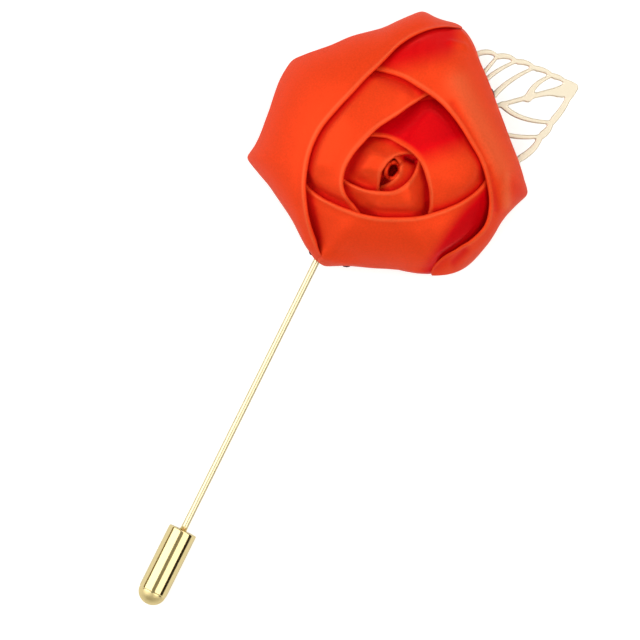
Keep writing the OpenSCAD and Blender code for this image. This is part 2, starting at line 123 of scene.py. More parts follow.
def read_rows(rows: Array, angle: Array, column: int) -> Array:
    """Reads a column of a table at some angles, by a cubic with Catmull-Rom slopes through its rows.

    Args:
        rows: table with the angle in its first column.
        angle: angles in degrees; past the table's ends its end value holds.
        column: number of the column to read.

    Returns:
        The column's value at each angle.
    """
    last = len(rows) - 1
    i = np.clip(np.searchsorted(rows[:, 0], angle, side="right") - 1, 0, last - 1)
    p, q, r, s = rows[np.maximum(i - 1, 0)], rows[i], rows[i + 1], rows[np.minimum(i + 2, last)]
    width = r[..., 0] - q[..., 0]
    u = np.clip((angle - q[..., 0]) / width, 0.0, 1.0)
    slope_q = width * (r[..., column] - p[..., column]) / (r[..., 0] - p[..., 0])
    slope_r = width * (s[..., column] - q[..., column]) / (s[..., 0] - q[..., 0])
    return (
        q[..., column] * (2 * u**3 - 3 * u**2 + 1)
        + slope_q * (u**3 - 2 * u**2 + u)
        + r[..., column] * (3 * u**2 - 2 * u**3)
        + slope_r * (u**3 - u**2)
    )


def smoothed(values: Array, passes: int, across: bool = True, ring: bool = False) -> Array:
    """Smooths a grid of values by weights 1, 2, 1.

    Args:
        values: grid of values.
        passes: how many times the weights are applied.
        across: whether they go along its second axis as well as along the first.
        ring: whether the first axis closes on itself.

    Returns:
        The smoothed grid; its edge rows keep their values on an open axis.
    """
    out = values.copy()
    for _ in range(passes):
        if ring:
            out = (np.roll(out, 1, 0) + 2 * out + np.roll(out, -1, 0)) / 4
        else:
            out[1:-1] = (out[:-2] + 2 * out[1:-1] + out[2:]) / 4
        if across:
            out[:, 1:-1] = (out[:, :-2] + 2 * out[:, 1:-1] + out[:, 2:]) / 4
    return out


def grid_quads(rows: int, columns: int, close_rows: bool = False, close_columns: bool = False) -> Array:
    """Quads of a grid of points numbered row by row.

    Args:
        rows: number of rows of points.
        columns: number of points in a row.
        close_rows: whether the last row joins the first.
        close_columns: whether the last column joins the first.

    Returns:
        An array of four point numbers a quad.
    """
    i = np.arange(rows if close_rows else rows - 1)[:, None]
    j = np.arange(columns if close_columns else columns - 1)[None, :]
    i2, j2 = (i + 1) % rows, (j + 1) % columns
    corners = (i * columns + j, i2 * columns + j, i2 * columns + j2, i * columns + j2)
    return np.stack(np.broadcast_arrays(*corners), axis=-1).reshape(-1, 4)


def round_faces(stations: int, columns: int) -> list[Array]:
    """Faces of a form whose sections stand round an axis: its quads and the two faces that close it.

    Args:
        stations: number of sections round the axis.
        columns: number of points in a section.

    Returns:
        The arrays of faces.
    """
    first = np.arange(stations)[None, :] * columns
    return [grid_quads(stations, columns, close_rows=True), first[:, ::-1], first + columns - 1]


def flipped(faces: list[Array]) -> list[Array]:
    """The same faces, facing the other way."""
    return [block[:, ::-1] for block in faces]


def arc_rows(centre: Pair, radii: Pair, start: float, end: float, steps: int) -> Array:
    """Rows of a profile along an arc of an ellipse.

    Args:
        centre: its middle, along and out.
        radii: its half sizes, along and out.
        start: first angle in degrees, 0 along and 90 out.
        end: last angle.
        steps: number of rows.

    Returns:
        The rows.
    """
    t = np.radians(np.linspace(start, end, steps))
    return np.stack([centre[0] + radii[0] * np.cos(t), centre[1] + radii[1] * np.sin(t)], axis=-1)


def lathe(profile: Array, stations: int) -> tuple[Array, list[Array]]:
    """Turns a profile round the Y axis.

    Args:
        profile: rows of place along -Y and radius.
        stations: number of sections round the axis.

    Returns:
        The points and the faces, with both ends closed.
    """
    a = np.linspace(0, 2 * np.pi, stations, endpoint=False)[:, None]
    along, radius = np.broadcast_to(profile[:, 0], (stations, len(profile))), profile[:, 1]
    points = np.stack([radius * np.cos(a), -along, radius * np.sin(a)], axis=-1)
    return points.reshape(-1, 3), round_faces(stations, len(profile))


def build_object(
    name: str,
    points: Array,
    faces: list[Array],
    uv: Array | None = None,
    marks: dict[str, Array] | None = None,
) -> bpy.types.Object:
    """Makes a smooth-shaded mesh object at the origin from points in millimetres.

    Args:
        name: the object's name.
        points: points along the last axis, in millimetres.
        faces: arrays of faces, each with one face a row.
        uv: optional place of each point on the cloth, in millimetres.
        marks: optional values at the points that its material reads, by name.

    Returns:
        The new object, linked to the scene.
    """
    mesh = bpy.data.meshes.new(name)
    places = points.reshape(-1, 3) * MM
    mesh.from_pydata(places.tolist(), [], [f for block in faces for f in block.tolist()])
    mesh.validate()
    mesh.polygons.foreach_set("use_smooth", np.ones(len(mesh.polygons), dtype=bool))
    if uv is not None:
        index = np.empty(len(mesh.loops), dtype=np.int32)
        mesh.loops.foreach_get("vertex_index", index)
        cloth = uv.reshape(-1, 2)[index].astype(np.float32)
        mesh.uv_layers.new(name="cloth").data.foreach_set("uv", cloth.ravel())
    for label, values in (marks or {}).items():
        mark = mesh.attributes.new(label, "FLOAT", "POINT")
        mark.data.foreach_set("value", values.astype(np.float32).ravel())
    mesh.update()
    obj = bpy.data.objects.new(name, mesh)
    bpy.context.scene.collection.objects.link(obj)
    return obj


# Place of the parts in the model


@dataclass(frozen=True)
class Place:
    """Where the flower and the pin stand in the model, in millimetres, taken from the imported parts."""

    pin_x: float
    mouth_y: float
    wire_z: float
    felt_low: float
    felt_high: float
    leaf_low: float
    leaf_high: float

    @classmethod
    def from_frame(cls) -> Place:
        """Reads the place from the boxes of the cap, the felt and the leaf."""
        cap, felt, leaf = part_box("pin_cap"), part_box("backing"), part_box("leaf")
        return cls(
            pin_x=(cap[0].x + cap[1].x) / 2 / MM,
            mouth_y=cap[1].y / MM,
            wire_z=(cap[0].z + cap[1].z) / 2 / MM,
            felt_low=felt[0].z / MM,
            felt_high=felt[1].z / MM,
            leaf_low=leaf[0].z / MM,
            leaf_high=leaf[1].z / MM,
        )

    @property
    def bud(self) -> Array:
        """The bud's axis on the table."""
        return np.array([self.pin_x + BUD_ASIDE, self.mouth_y + MOUTH_REACH])

    def to_model(self, points: Array) -> Array:
        """Turns points of the flower's frame into the model's frame."""
        x, y = turned(points[..., 0], points[..., 1], FLOWER_TURN)
        return np.stack([self.bud[0] + x, self.bud[1] + y, points[..., 2]], axis=-1)


# Finishes


class Effect(Enum):
    """Shader node groups that several materials share."""

    MOTTLE = "cloud_mottle"
    SURFACE_GRAIN = "surface_grain"


def add(
    tree: Tree, kind: str, inputs: dict[str | int, object] | None = None, **settings: object
) -> bpy.types.Node:
    """Adds a node, sets its properties and feeds its inputs.

    Args:
        tree: tree that takes the node.
        kind: the node's type.
        inputs: the value of each input, or the socket that it is linked to, by the input's name or number.
        settings: the node's properties.

    Returns:
        The new node.
    """
    node = tree.nodes.new(kind)
    for label, value in settings.items():
        setattr(node, label, value)
    for label, value in (inputs or {}).items():
        if isinstance(value, Socket):
            tree.links.new(value, node.inputs[label])
        else:
            node.inputs[label].default_value = value
    return node


def work(tree: Tree, operation: str, *values: Socket | float, clamp: bool = False) -> Socket:
    """Adds a math node.

    Args:
        tree: tree that takes the node.
        operation: what it does.
        values: the numbers or sockets that it reads.
        clamp: whether the result is held between 0 and 1.

    Returns:
        Its output.
    """
    inputs = dict(enumerate(values))
    return add(tree, "ShaderNodeMath", inputs, operation=operation, use_clamp=clamp).outputs[0]


def noise(tree: Tree, scale: Socket | float, detail: float) -> Socket:
    """Adds a noise texture on the object's coordinates.

    Args:
        tree: tree that takes the nodes.
        scale: waves a metre.
        detail: number of finer layers.

    Returns:
        The noise's value, from 0 to 1.
    """
    place = add(tree, "ShaderNodeTexCoord").outputs["Object"]
    inputs = {"Vector": place, "Scale": scale, "Detail": detail}
    return add(tree, "ShaderNodeTexNoise", inputs).outputs["Fac"]


def marked(tree: Tree, name: str) -> Socket:
    """The value of one of the mesh's marks."""
    return add(tree, "ShaderNodeAttribute", attribute_name=name).outputs["Fac"]


def brightened(tree: Tree, color: Socket | tuple, times: Socket) -> Socket:
    """A colour with its brightness multiplied."""
    return add(tree, "ShaderNodeHueSaturation", {"Color": color, "Value": times}).outputs["Color"]


def new_group(effect: Effect, inputs: dict[str, float], output: str) -> tuple[Tree, bpy.types.Node]:
    """Makes a shader node group whose sockets are plain numbers.

    Args:
        effect: the effect that it makes.
        inputs: each input's name and its usual value.
        output: the output's name.

    Returns:
        The group's tree and its input node.
    """
    tree = bpy.data.node_groups.new(effect.value, "ShaderNodeTree")
    for label, value in inputs.items():
        socket = tree.interface.new_socket(label, in_out="INPUT", socket_type="NodeSocketFloat")
        socket.default_value = value
    tree.interface.new_socket(output, in_out="OUTPUT", socket_type="NodeSocketFloat")
    return tree, tree.nodes.new("NodeGroupInput")


def make_mottle() -> Tree:
    """Makes the group of slow cloudy variation about 0: the noise less a half, times Amount.

    Returns:
        The group's tree.
    """
    tree, given = new_group(Effect.MOTTLE, {"Scale": 120.0, "Amount": 0.1}, "Value")
    centred = work(tree, "SUBTRACT", noise(tree, given.outputs["Scale"], 3.0), 0.5)
    add(tree, "NodeGroupOutput", {"Value": work(tree, "MULTIPLY", centred, given.outputs["Amount"])})
    return tree


def make_surface_grain() -> Tree:
    """Makes the group of fine grain: a height from 0 to 1, of a noise and of one four times finer.

    Returns:
        The group's tree.
    """
    tree, given = new_group(Effect.SURFACE_GRAIN, {"Scale": 3000.0}, "Height")
    scale = given.outputs["Scale"]
    coarse = work(tree, "MULTIPLY", noise(tree, scale, 2.0), COARSE_SHARE)
    fine = noise(tree, work(tree, "MULTIPLY", scale, 4.0), 1.0)
    add(tree, "NodeGroupOutput", {"Height": work(tree, "MULTIPLY_ADD", fine, 1 - COARSE_SHARE, coarse)})
    return tree


EFFECT_MAKERS = {Effect.MOTTLE: make_mottle, Effect.SURFACE_GRAIN: make_surface_grain}


def place_effect(tree: Tree, effect: Effect, **values: float) -> Socket:
    """Places a shared effect in a material, making its group the first time.

    Args:
        tree: the material's tree.
        effect: which effect.
        values: values of the group's inputs.

    Returns:
        The group's output.
    """
    group = bpy.data.node_groups.get(effect.value) or EFFECT_MAKERS[effect]()
    return add(tree, "ShaderNodeGroup", values, node_tree=group).outputs[0]


def new_material(name: str) -> bpy.types.Material:
    """Makes a material without nodes.

    Args:
        name: the material's name.

    Returns:
        The material.
    """
    material = bpy.data.materials.new(name)
    material.use_nodes = True
    material.node_tree.nodes.clear()
    return material


def add_shader(tree: Tree, inputs: dict[str, object]) -> None:
    """Adds the Principled shader with its inputs and leads it to the material's output."""
    shader = add(tree, "ShaderNodeBsdfPrincipled", inputs)
    add(tree, "ShaderNodeOutputMaterial", {"Surface": shader.outputs["BSDF"]})


def opaque(color: Color) -> tuple[float, ...]:
    """A colour with its share of cover, which is 1."""
    return (*color, 1.0)


@dataclass(frozen=True)
class Finish:
    """A finish: the values of its shader and the variation over its surface."""

    name: str
    color: Color
    roughness: float
    metallic: float = 0.0
    specular: float = 0.5
    mottle: float = 0.1
    mottle_scale: float = 150.0
    grain_scale: float = 3000.0
    grain_height: float = 0.00001
    roughness_spread: float = 0.1

    def tint(self, tree: Tree, cloud: Socket) -> Socket:
        """Colour at each place: the finish's own, its brightness times 1 plus the cloud."""
        return brightened(tree, opaque(self.color), work(tree, "ADD", cloud, 1.0))

    def polish(self, tree: Tree, cloud: Socket) -> Socket:
        """Roughness at each place: the finish's own plus its spread times the cloud."""
        return work(tree, "MULTIPLY_ADD", cloud, self.roughness_spread, self.roughness)

    def relief(self, tree: Tree) -> dict[str, Socket]:
        """What the fine grain's bump is laid over: nothing, on a plain surface."""
        return {}

    def gloss(self) -> dict[str, object]:
        """Values of the shader's other sockets."""
        return {"Metallic": self.metallic, "Specular IOR Level": self.specular}

    def make(self) -> bpy.types.Material:
        """Makes the material with mottled colour and roughness and a fine grain.

        Returns:
            The material.
        """
        material = new_material(self.name)
        tree = material.node_tree
        cloud = place_effect(tree, Effect.MOTTLE, Scale=self.mottle_scale, Amount=self.mottle)
        grain = place_effect(tree, Effect.SURFACE_GRAIN, Scale=self.grain_scale)
        bump = {"Distance": self.grain_height, "Height": grain, **self.relief(tree)}
        add_shader(tree, {
            "Base Color": self.tint(tree, cloud),
            "Roughness": self.polish(tree, cloud),
            "Normal": add(tree, "ShaderNodeBump", bump).outputs["Normal"],
            **self.gloss(),
        })
        return material


@dataclass(frozen=True)
class SatinFinish(Finish):
    """Satin ribbon: dense threads that run along the ribbon, with a soft sheen.

    Its colours follow a mark of painted shading: a painted highlight at -1, its own colour at 0, painted
    shade at 1 and a painted pocket shadow at 2.
    """

    # Colours of the painted shade, the painted pocket shadow and the painted highlight
    painted_shade_color: Color = (0.8, 0.0, 0.006)
    painted_pocket_shadow_color: Color = (0.24, 0.0, 0.003)
    painted_highlight_color: Color = (1.0, 0.15, 0.05)
    gloss_tint: Color = (1.0, 0.42, 0.2)
    thread_pitch: float = 0.16
    thread_height: float = 0.000004
    speckle: float = 0.26
    speckle_scale: float = 3200.0
    sheen: float = 0.04
    sheen_roughness: float = 0.4
    sheen_tint: Color = (1.0, 0.4, 0.2)

    def tint(self, tree: Tree, cloud: Socket) -> Socket:
        """Colour at each place, blended towards painted shade, painted pocket shadow or painted highlight by
        the mark of painted shading, and brightened by the cloud and the speckle.

        The share of each further colour is the mark * times + plus, held between 0 and 1.

        Args:
            tree: the material's tree.
            cloud: the slow variation.

        Returns:
            The colour.
        """
        # The mark paints shade where it is above 0 and a highlight where it is below 0
        depth = marked(tree, "painted_shading")
        color = opaque(self.color)
        blends = ((self.painted_shade_color, 1.0, 0.0), (self.painted_pocket_shadow_color, 1.0, -1.0), (self.painted_highlight_color, -1.0, 0.0))
        for other, times, plus in blends:
            share = work(tree, "MULTIPLY_ADD", depth, times, plus, clamp=True)
            blend = {"Fac": share, "Color1": color, "Color2": opaque(other)}
            color = add(tree, "ShaderNodeMixRGB", blend).outputs["Color"]
        speckle = place_effect(tree, Effect.MOTTLE, Scale=self.speckle_scale, Amount=self.speckle)
        return brightened(tree, color, work(tree, "ADD", work(tree, "ADD", cloud, 1.0), speckle))

    def relief(self, tree: Tree) -> dict[str, Socket]:
        """The threads under the grain: the sine of the cloth's own coordinate over their pitch.

        Args:
            tree: the material's tree.

        Returns:
            The threads' normal, for the grain's bump.
        """
        place = add(tree, "ShaderNodeUVMap", uv_map="cloth").outputs["UV"]
        across = add(tree, "ShaderNodeSeparateXYZ", {"Vector": place}).outputs["Y"]
        thread = work(tree, "SINE", work(tree, "MULTIPLY", across, 2 * math.pi / self.thread_pitch))
        weave = {"Distance": self.thread_height, "Height": thread}
        return {"Normal": add(tree, "ShaderNodeBump", weave).outputs["Normal"]}

    def gloss(self) -> dict[str, object]:
        """Values of the shader's other sockets, with a tinted gloss and sheen."""
        return {
            **super().gloss(),
            "Specular Tint": opaque(self.gloss_tint),
            "Sheen Weight": self.sheen,
            "Sheen Roughness": self.sheen_roughness,
            "Sheen Tint": opaque(self.sheen_tint),
        }


@dataclass(frozen=True)
class CapFinish(Finish):
    """Polished plate that turns soft where the cap is marked matt."""

    matt_roughness: float = 0.5

    def polish(self, tree: Tree, cloud: Socket) -> Socket:
        """Roughness at each place, raised to the matt one where the mark matt is 1."""
        extra = self.matt_roughness - self.roughness
        return work(tree, "MULTIPLY_ADD", marked(tree, "matt"), extra, super().polish(tree, cloud))


SATIN = SatinFinish("satin_ribbon", (0.95, 0.062, 0.013), 0.4, metallic=0.25, specular=0.14, mottle=0.07,
                    mottle_scale=420.0)
FELT = Finish("felt_wool", (0.035, 0.014, 0.045), 0.95, specular=0.1, mottle=0.5, mottle_scale=900.0,
              grain_scale=6000.0, grain_height=0.00008)
LEAF_METAL = Finish("leaf_plate", (0.95, 0.885, 0.73), 0.5, metallic=1.0, mottle=0.05, grain_height=0.000002)
PIN_METAL = Finish("pin_plate", (0.93, 0.83, 0.55), 0.28, metallic=1.0, mottle=0.04, grain_height=0.0000006)
CAP_METAL = CapFinish("cap_plate", (0.91, 0.77, 0.4), 0.13, metallic=1.0, mottle=0.04,
                      grain_height=0.0000005)


def fit(piece: bpy.types.Object, node: str, body: str, material: bpy.types.Material) -> None:
    """Dresses a piece and puts it on its body in the place of its part.

    Args:
        piece: the piece.
        node: the part that it stands for.
        body: the body that it rides on.
        material: its material.
    """
    piece.data.materials.append(material)
    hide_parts(node)
    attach(piece, body)
    LOG.info("%s: %d points for %s", piece.name, len(piece.data.vertices), node)


# The rose


@dataclass(frozen=True)
class Crease:
    """A straight hollow or ridge of the cloth, seen from above, in the flower's frame in millimetres."""

    start: Pair
    end: Pair
    width: float
    rise: float = 0.0
    # shade paints shade on the cloth where it is above 0, and a highlight where it is below 0
    shade: float = 0.0

    def across(self, x: Array, y: Array) -> tuple[Array, Array]:
        """Distances to the right of its line, going from start to end, and past its ends.

        Args:
            x: places to the right.
            y: places up the picture.

        Returns:
            The two distances.
        """
        a, run = np.array(self.start), np.subtract(self.end, self.start)
        length = float(np.hypot(*run))
        along = ((x - a[0]) * run[0] + (y - a[1]) * run[1]) / length
        right = ((x - a[0]) * run[1] - (y - a[1]) * run[0]) / length
        return right, np.maximum(np.maximum(-along, along - length), 0.0)

    def share(self, x: Array, y: Array) -> Array:
        """Share of it at each place: a bell curve of the distance from its line, fading past its ends."""
        return bell(np.hypot(*self.across(x, y)), self.width)


@dataclass(frozen=True)
class Slope(Crease):
    """The cloth on the right of a line, going from start to end, where a hollow dips and shade is painted.
    """

    def share(self, x: Array, y: Array) -> Array:
        """Share of it at each place: a smooth step over its width across the line."""
        return ramp(self.across(x, y)[0] / self.width + 0.5)


@dataclass(frozen=True)
class Hollow:
    """A hollow between several slopes: where all of them fall together the cloth dips by rise, and shade is
    painted by shade.
    """

    slopes: tuple[Slope, ...]
    rise: float
    shade: float

    def share(self, x: Array, y: Array) -> Array:
        """Share of it at each place: the product of its slopes' shares."""
        return np.prod([s.share(x, y) for s in self.slopes], axis=0)


@dataclass(frozen=True)
class Fold:
    """One petal, or the bud: its folded edge, and how its cloth lies.

    Each row holds an angle round the bud, the edge's reach as a share of half the flower's width and its
    height as a share of the flower's. The swell is the face's crown in millimetres, the hollow the dip of
    the cloth that lies just under the fold, and smoothing the passes along the petal, of which more are
    needed near the bud, where a degree is short. The fades are the degrees over which the petal grows from
    its first end and shrinks to its last one. Cloth under a soft end swells out to meet it.
    """

    rows: Array
    swell: float = 0.0
    hollow: float = 0.0
    smoothing: int = 0
    creases: tuple[Crease | Hollow, ...] = ()
    fades: Pair = (9.0, 9.0)
    soft_end: bool = False
    end_wall: float = 0.1

    @property
    def first(self) -> float:
        """Angle where it starts."""
        return float(self.rows[0, 0])

    @property
    def last(self) -> float:
        """Angle where it ends."""
        return float(self.rows[-1, 0])

    def stations(self, a_degree: float) -> Array:
        """Angles from its first end to its last, so many a degree."""
        return np.linspace(self.first, self.last, int((self.last - self.first) * a_degree) + 1)

    def own_turn(self, angle: Array) -> Array:
        """The same angles, counted within half a turn of the petal's middle."""
        return counted_from((self.first + self.last) / 2 - 180.0, angle)

    def nearest(self, angle: Array) -> Array:
        """The petal's own angle nearest to each angle."""
        return np.clip(self.own_turn(angle), self.first, self.last)

    def outside(self, angle: Array) -> Array:
        """How far each angle lies outside the petal's ends."""
        return np.abs(self.own_turn(angle) - self.nearest(angle))

    def inside(self, angle: Array) -> Array:
        """How far each angle lies inside the petal's nearer end."""
        own = self.own_turn(angle)
        return np.minimum(own - self.first, self.last - own)

    def fullness(self, angle: Array) -> Array:
        """How full the petal is at each angle: 0 at its ends and 1 past its fades."""
        own = self.own_turn(angle)
        return ramp((own - self.first) / self.fades[0]) * ramp((self.last - own) / self.fades[1])

    def thickness(self, angle: Array) -> Array:
        """Share of the wall's thickness: thin at the petal's ends, where the ribbon is drawn in."""
        return self.end_wall + (1 - self.end_wall) * self.fullness(angle)


FOLDS = (
    Fold(
        np.array([
            [0, 0.038, 0.90], [30, 0.042, 0.92], [60, 0.044, 0.94], [90, 0.040, 0.96], [120, 0.033, 0.98],
            [150, 0.029, 0.99], [180, 0.031, 0.99], [210, 0.038, 0.98], [240, 0.045, 0.96],
            [270, 0.043, 0.93], [300, 0.035, 0.91], [330, 0.032, 0.90], [360, 0.038, 0.90],
        ]),
    ),
    Fold(
        np.array([
            [-145, 0.200, 0.75], [-128, 0.137, 0.81], [-113, 0.105, 0.91], [-96, 0.076, 0.95],
            [-60, 0.049, 0.97], [0, 0.047, 0.98], [38, 0.064, 0.97], [77, 0.084, 0.93],
            [95, 0.085, 0.90], [125, 0.095, 0.85],
        ]),
        swell=0.0, hollow=0.3, smoothing=120,
        creases=(
            Crease((2.2, 2.0), (3.4, 1.4), 0.6, -0.6, 1.9),
            Crease((-1.6, -1.2), (-1.2, -2.4), 0.4, 0.0, 0.8),
        ),
    ),
    Fold(
        np.array([
            [28, 0.230, 0.80], [43, 0.166, 0.87], [62, 0.118, 0.93], [96, 0.072, 0.97], [130, 0.058, 0.98],
            [165, 0.058, 0.98], [200, 0.084, 0.96], [217, 0.106, 0.93], [236, 0.165, 0.85],
            [252, 0.230, 0.78],
        ]),
        swell=0.0, hollow=0.4, smoothing=120,
        creases=(
            Crease((-6.9, 0.2), (-4.9, 5.0), 1.5, -0.5, 0.85),
            Crease((-5.2, -1.3), (-2.2, -3.2), 0.6, -0.1, 0.4),
        ),
    ),
    Fold(
        np.array([
            [180, 0.400, 0.76], [193, 0.330, 0.81], [207, 0.260, 0.87], [234, 0.178, 0.92],
            [267, 0.145, 0.945], [312, 0.130, 0.95], [348, 0.148, 0.93], [378, 0.186, 0.87],
            [392, 0.230, 0.81],
        ]),
        swell=0.2, hollow=0.5, smoothing=60,
        creases=(
            Crease((5.5, 0.6), (5.6, -6.3), 0.85, -0.4, 0.95),
            Crease((-4.8, -6.0), (4.0, -6.7), 0.5, -0.1, 0.4),
        ),
    ),
    Fold(
        np.array([
            [-66, 0.450, 0.65], [-49, 0.384, 0.73], [-34, 0.312, 0.82], [-12, 0.238, 0.90],
            [19, 0.196, 0.94], [54, 0.178, 0.955], [83, 0.195, 0.94], [107, 0.250, 0.89],
            [122, 0.285, 0.83], [137, 0.330, 0.76],
        ]),
        swell=0.2, hollow=0.6, smoothing=40,
        creases=(
            Hollow((Slope((11.8, 4.3), (4.0, 1.3), 5.2),), -0.25, 1.12),
            Crease((7.2, 2.6), (12.8, 1.0), 1.6, 0.3),
        ),
    ),
    Fold(
        np.array([
            [48, 0.700, 0.60], [64, 0.597, 0.69], [72, 0.490, 0.76], [86, 0.378, 0.84], [110, 0.307, 0.89],
            [136, 0.278, 0.91], [161, 0.297, 0.91], [180, 0.330, 0.90], [196, 0.358, 0.87],
            [209, 0.368, 0.84], [224, 0.372, 0.78], [234, 0.374, 0.73], [250, 0.390, 0.67],
        ]),
        swell=0.2, hollow=0.7, smoothing=12,
        creases=(
            Crease((-12.6, -2.7), (-5.6, -6.3), 0.7, -0.2, 0.6),
            Crease((-1.5, 15.0), (4.8, 12.2), 1.3, -0.2, 0.4),
        ),
    ),
    Fold(
        np.array([
            [174, 0.680, 0.60], [190, 0.604, 0.66], [201, 0.527, 0.73], [211, 0.461, 0.77],
            [227, 0.392, 0.80], [252, 0.341, 0.82], [280, 0.334, 0.82], [309, 0.394, 0.80],
            [325, 0.461, 0.77], [338, 0.545, 0.71], [353, 0.655, 0.62], [367, 0.730, 0.55],
        ]),
        swell=0.5, hollow=0.3, smoothing=2,
        creases=(
            Hollow((Slope((8.18, -9.76), (14.73, -2.35), 3.2), Slope((5.71, -14.7), (9.3, -8.0), 3.2)),
                   -0.25, 1.2),
        ),
    ),
    Fold(
        np.array([
            [-69, 0.752, 0.36], [-66, 0.722, 0.41], [-59, 0.697, 0.46], [-50, 0.712, 0.49],
            [-40, 0.740, 0.52], [-31, 0.757, 0.56], [-23, 0.738, 0.60], [-16, 0.712, 0.63],
            [-5, 0.663, 0.68], [6, 0.622, 0.72], [21, 0.577, 0.76], [39, 0.566, 0.78], [57, 0.582, 0.78],
            [72, 0.608, 0.75], [85, 0.660, 0.70], [98, 0.717, 0.62], [120, 0.840, 0.50],
        ]),
        swell=0.5, hollow=0.3, smoothing=2, fades=(34.0, 9.0), soft_end=True,
        creases=(
            Hollow((Slope((11.9, 19.1), (-0.4, 15.7), 4.5), Slope((10.7, 22.1), (9.1, 14.6), 3.0)),
                   -0.25, 0.95),
            Crease((9.3, 20.7), (11.6, 19.9), 0.5, 0.3),
            Crease((11.7, -12.6), (9.9, -14.5), 0.7, -0.25, 0.8),
            Crease((13.8, -8.8), (7.0, -14.9), 1.2, -0.1, 0.55),
            Crease((9.6, 10.6), (14.6, 1.6), 0.7, -0.1, 0.45),
            Crease((15.2, 0.6), (16.6, -6.0), 0.7, -0.1, 0.55),
            Crease((19.0, -2.4), (20.6, -3.4), 1.3, 0.0, 0.3),
            Crease((10.6, 13.9), (17.2, 0.6), 2.0, 0.1, -0.75),
            Crease((18.0, -0.4), (18.2, -5.4), 0.8, 0.15, -0.9),
        ),
    ),
    Fold(
        np.array([
            [64, 1.118, 0.24], [67, 1.098, 0.30], [70.5, 1.074, 0.36], [75, 1.032, 0.42],
            [80, 0.974, 0.48], [86, 0.895, 0.56], [93, 0.790, 0.65], [100, 0.715, 0.71],
            [116, 0.614, 0.77], [133, 0.574, 0.785], [152, 0.576, 0.78], [167, 0.585, 0.77],
            [180, 0.598, 0.76], [189, 0.616, 0.75], [199, 0.638, 0.73], [211, 0.678, 0.68],
            [222, 0.723, 0.58], [226, 0.745, 0.53], [230, 0.765, 0.48],
        ]),
        swell=0.6, hollow=0.2, smoothing=1, fades=(24.0, 9.0), soft_end=True,
    ),
)
# Columns: angle, reach of the rim as a share of half the flower's width, droop of the rim from 0 to 1
OUTLINE_ROWS = np.array([
    [-85, 0.709, 0], [-78, 0.740, 0], [-67, 0.804, 0.05], [-56, 0.853, 0.45], [-48, 0.860, 0.85],
    [-39, 0.854, 0.65], [-27, 0.852, 0.45], [-21, 0.873, 0.55], [-16, 0.909, 0.75], [-12, 0.950, 0.9],
    [-9.2, 0.986, 1], [-6, 0.966, 0.75], [-3, 0.946, 0.45], [4, 0.911, 0.08], [12, 0.882, 0],
    [19.5, 0.872, 0], [30, 0.884, 0], [39, 0.920, 0], [51, 1.002, 0.08], [57, 1.078, 0.25],
    [62, 1.130, 0.5], [65.5, 1.154, 0.65], [71, 1.144, 0.85], [75, 1.150, 0.95], [79, 1.172, 1],
    [83, 1.128, 0.85], [87, 1.086, 0.6], [93, 1.032, 0.35], [99, 1.013, 0.15], [107, 1.007, 0.05],
    [115, 1.000, 0], [121, 1.016, 0.1], [127, 1.044, 0.35], [131.5, 1.066, 0.6], [136, 1.052, 0.55],
    [140, 1.036, 0.45], [147, 1.001, 0.25], [153, 0.979, 0.12], [160, 0.972, 0.15], [165, 0.977, 0.35],
    [169, 0.994, 0.6], [172, 1.018, 0.85], [174, 1.042, 1], [176, 1.014, 0.9], [180, 0.957, 0.55],
    [186, 0.886, 0.2], [193, 0.838, 0.05], [200, 0.806, 0], [208, 0.789, 0], [216, 0.798, 0],
    [224, 0.818, 0], [230, 0.832, 0], [234.5, 0.829, 0], [238, 0.795, 0], [244, 0.749, 0], [251, 0.720, 0],
    [259, 0.704, 0], [267, 0.697, 0], [275, 0.705, 0],
])


@dataclass
class Overlap:
    """How places lie against a petal over them: its face there, the step down from it, and how far past."""

    face: Array
    step: Array
    past_fold: Array
    past_foot: Array
    past_end: Array


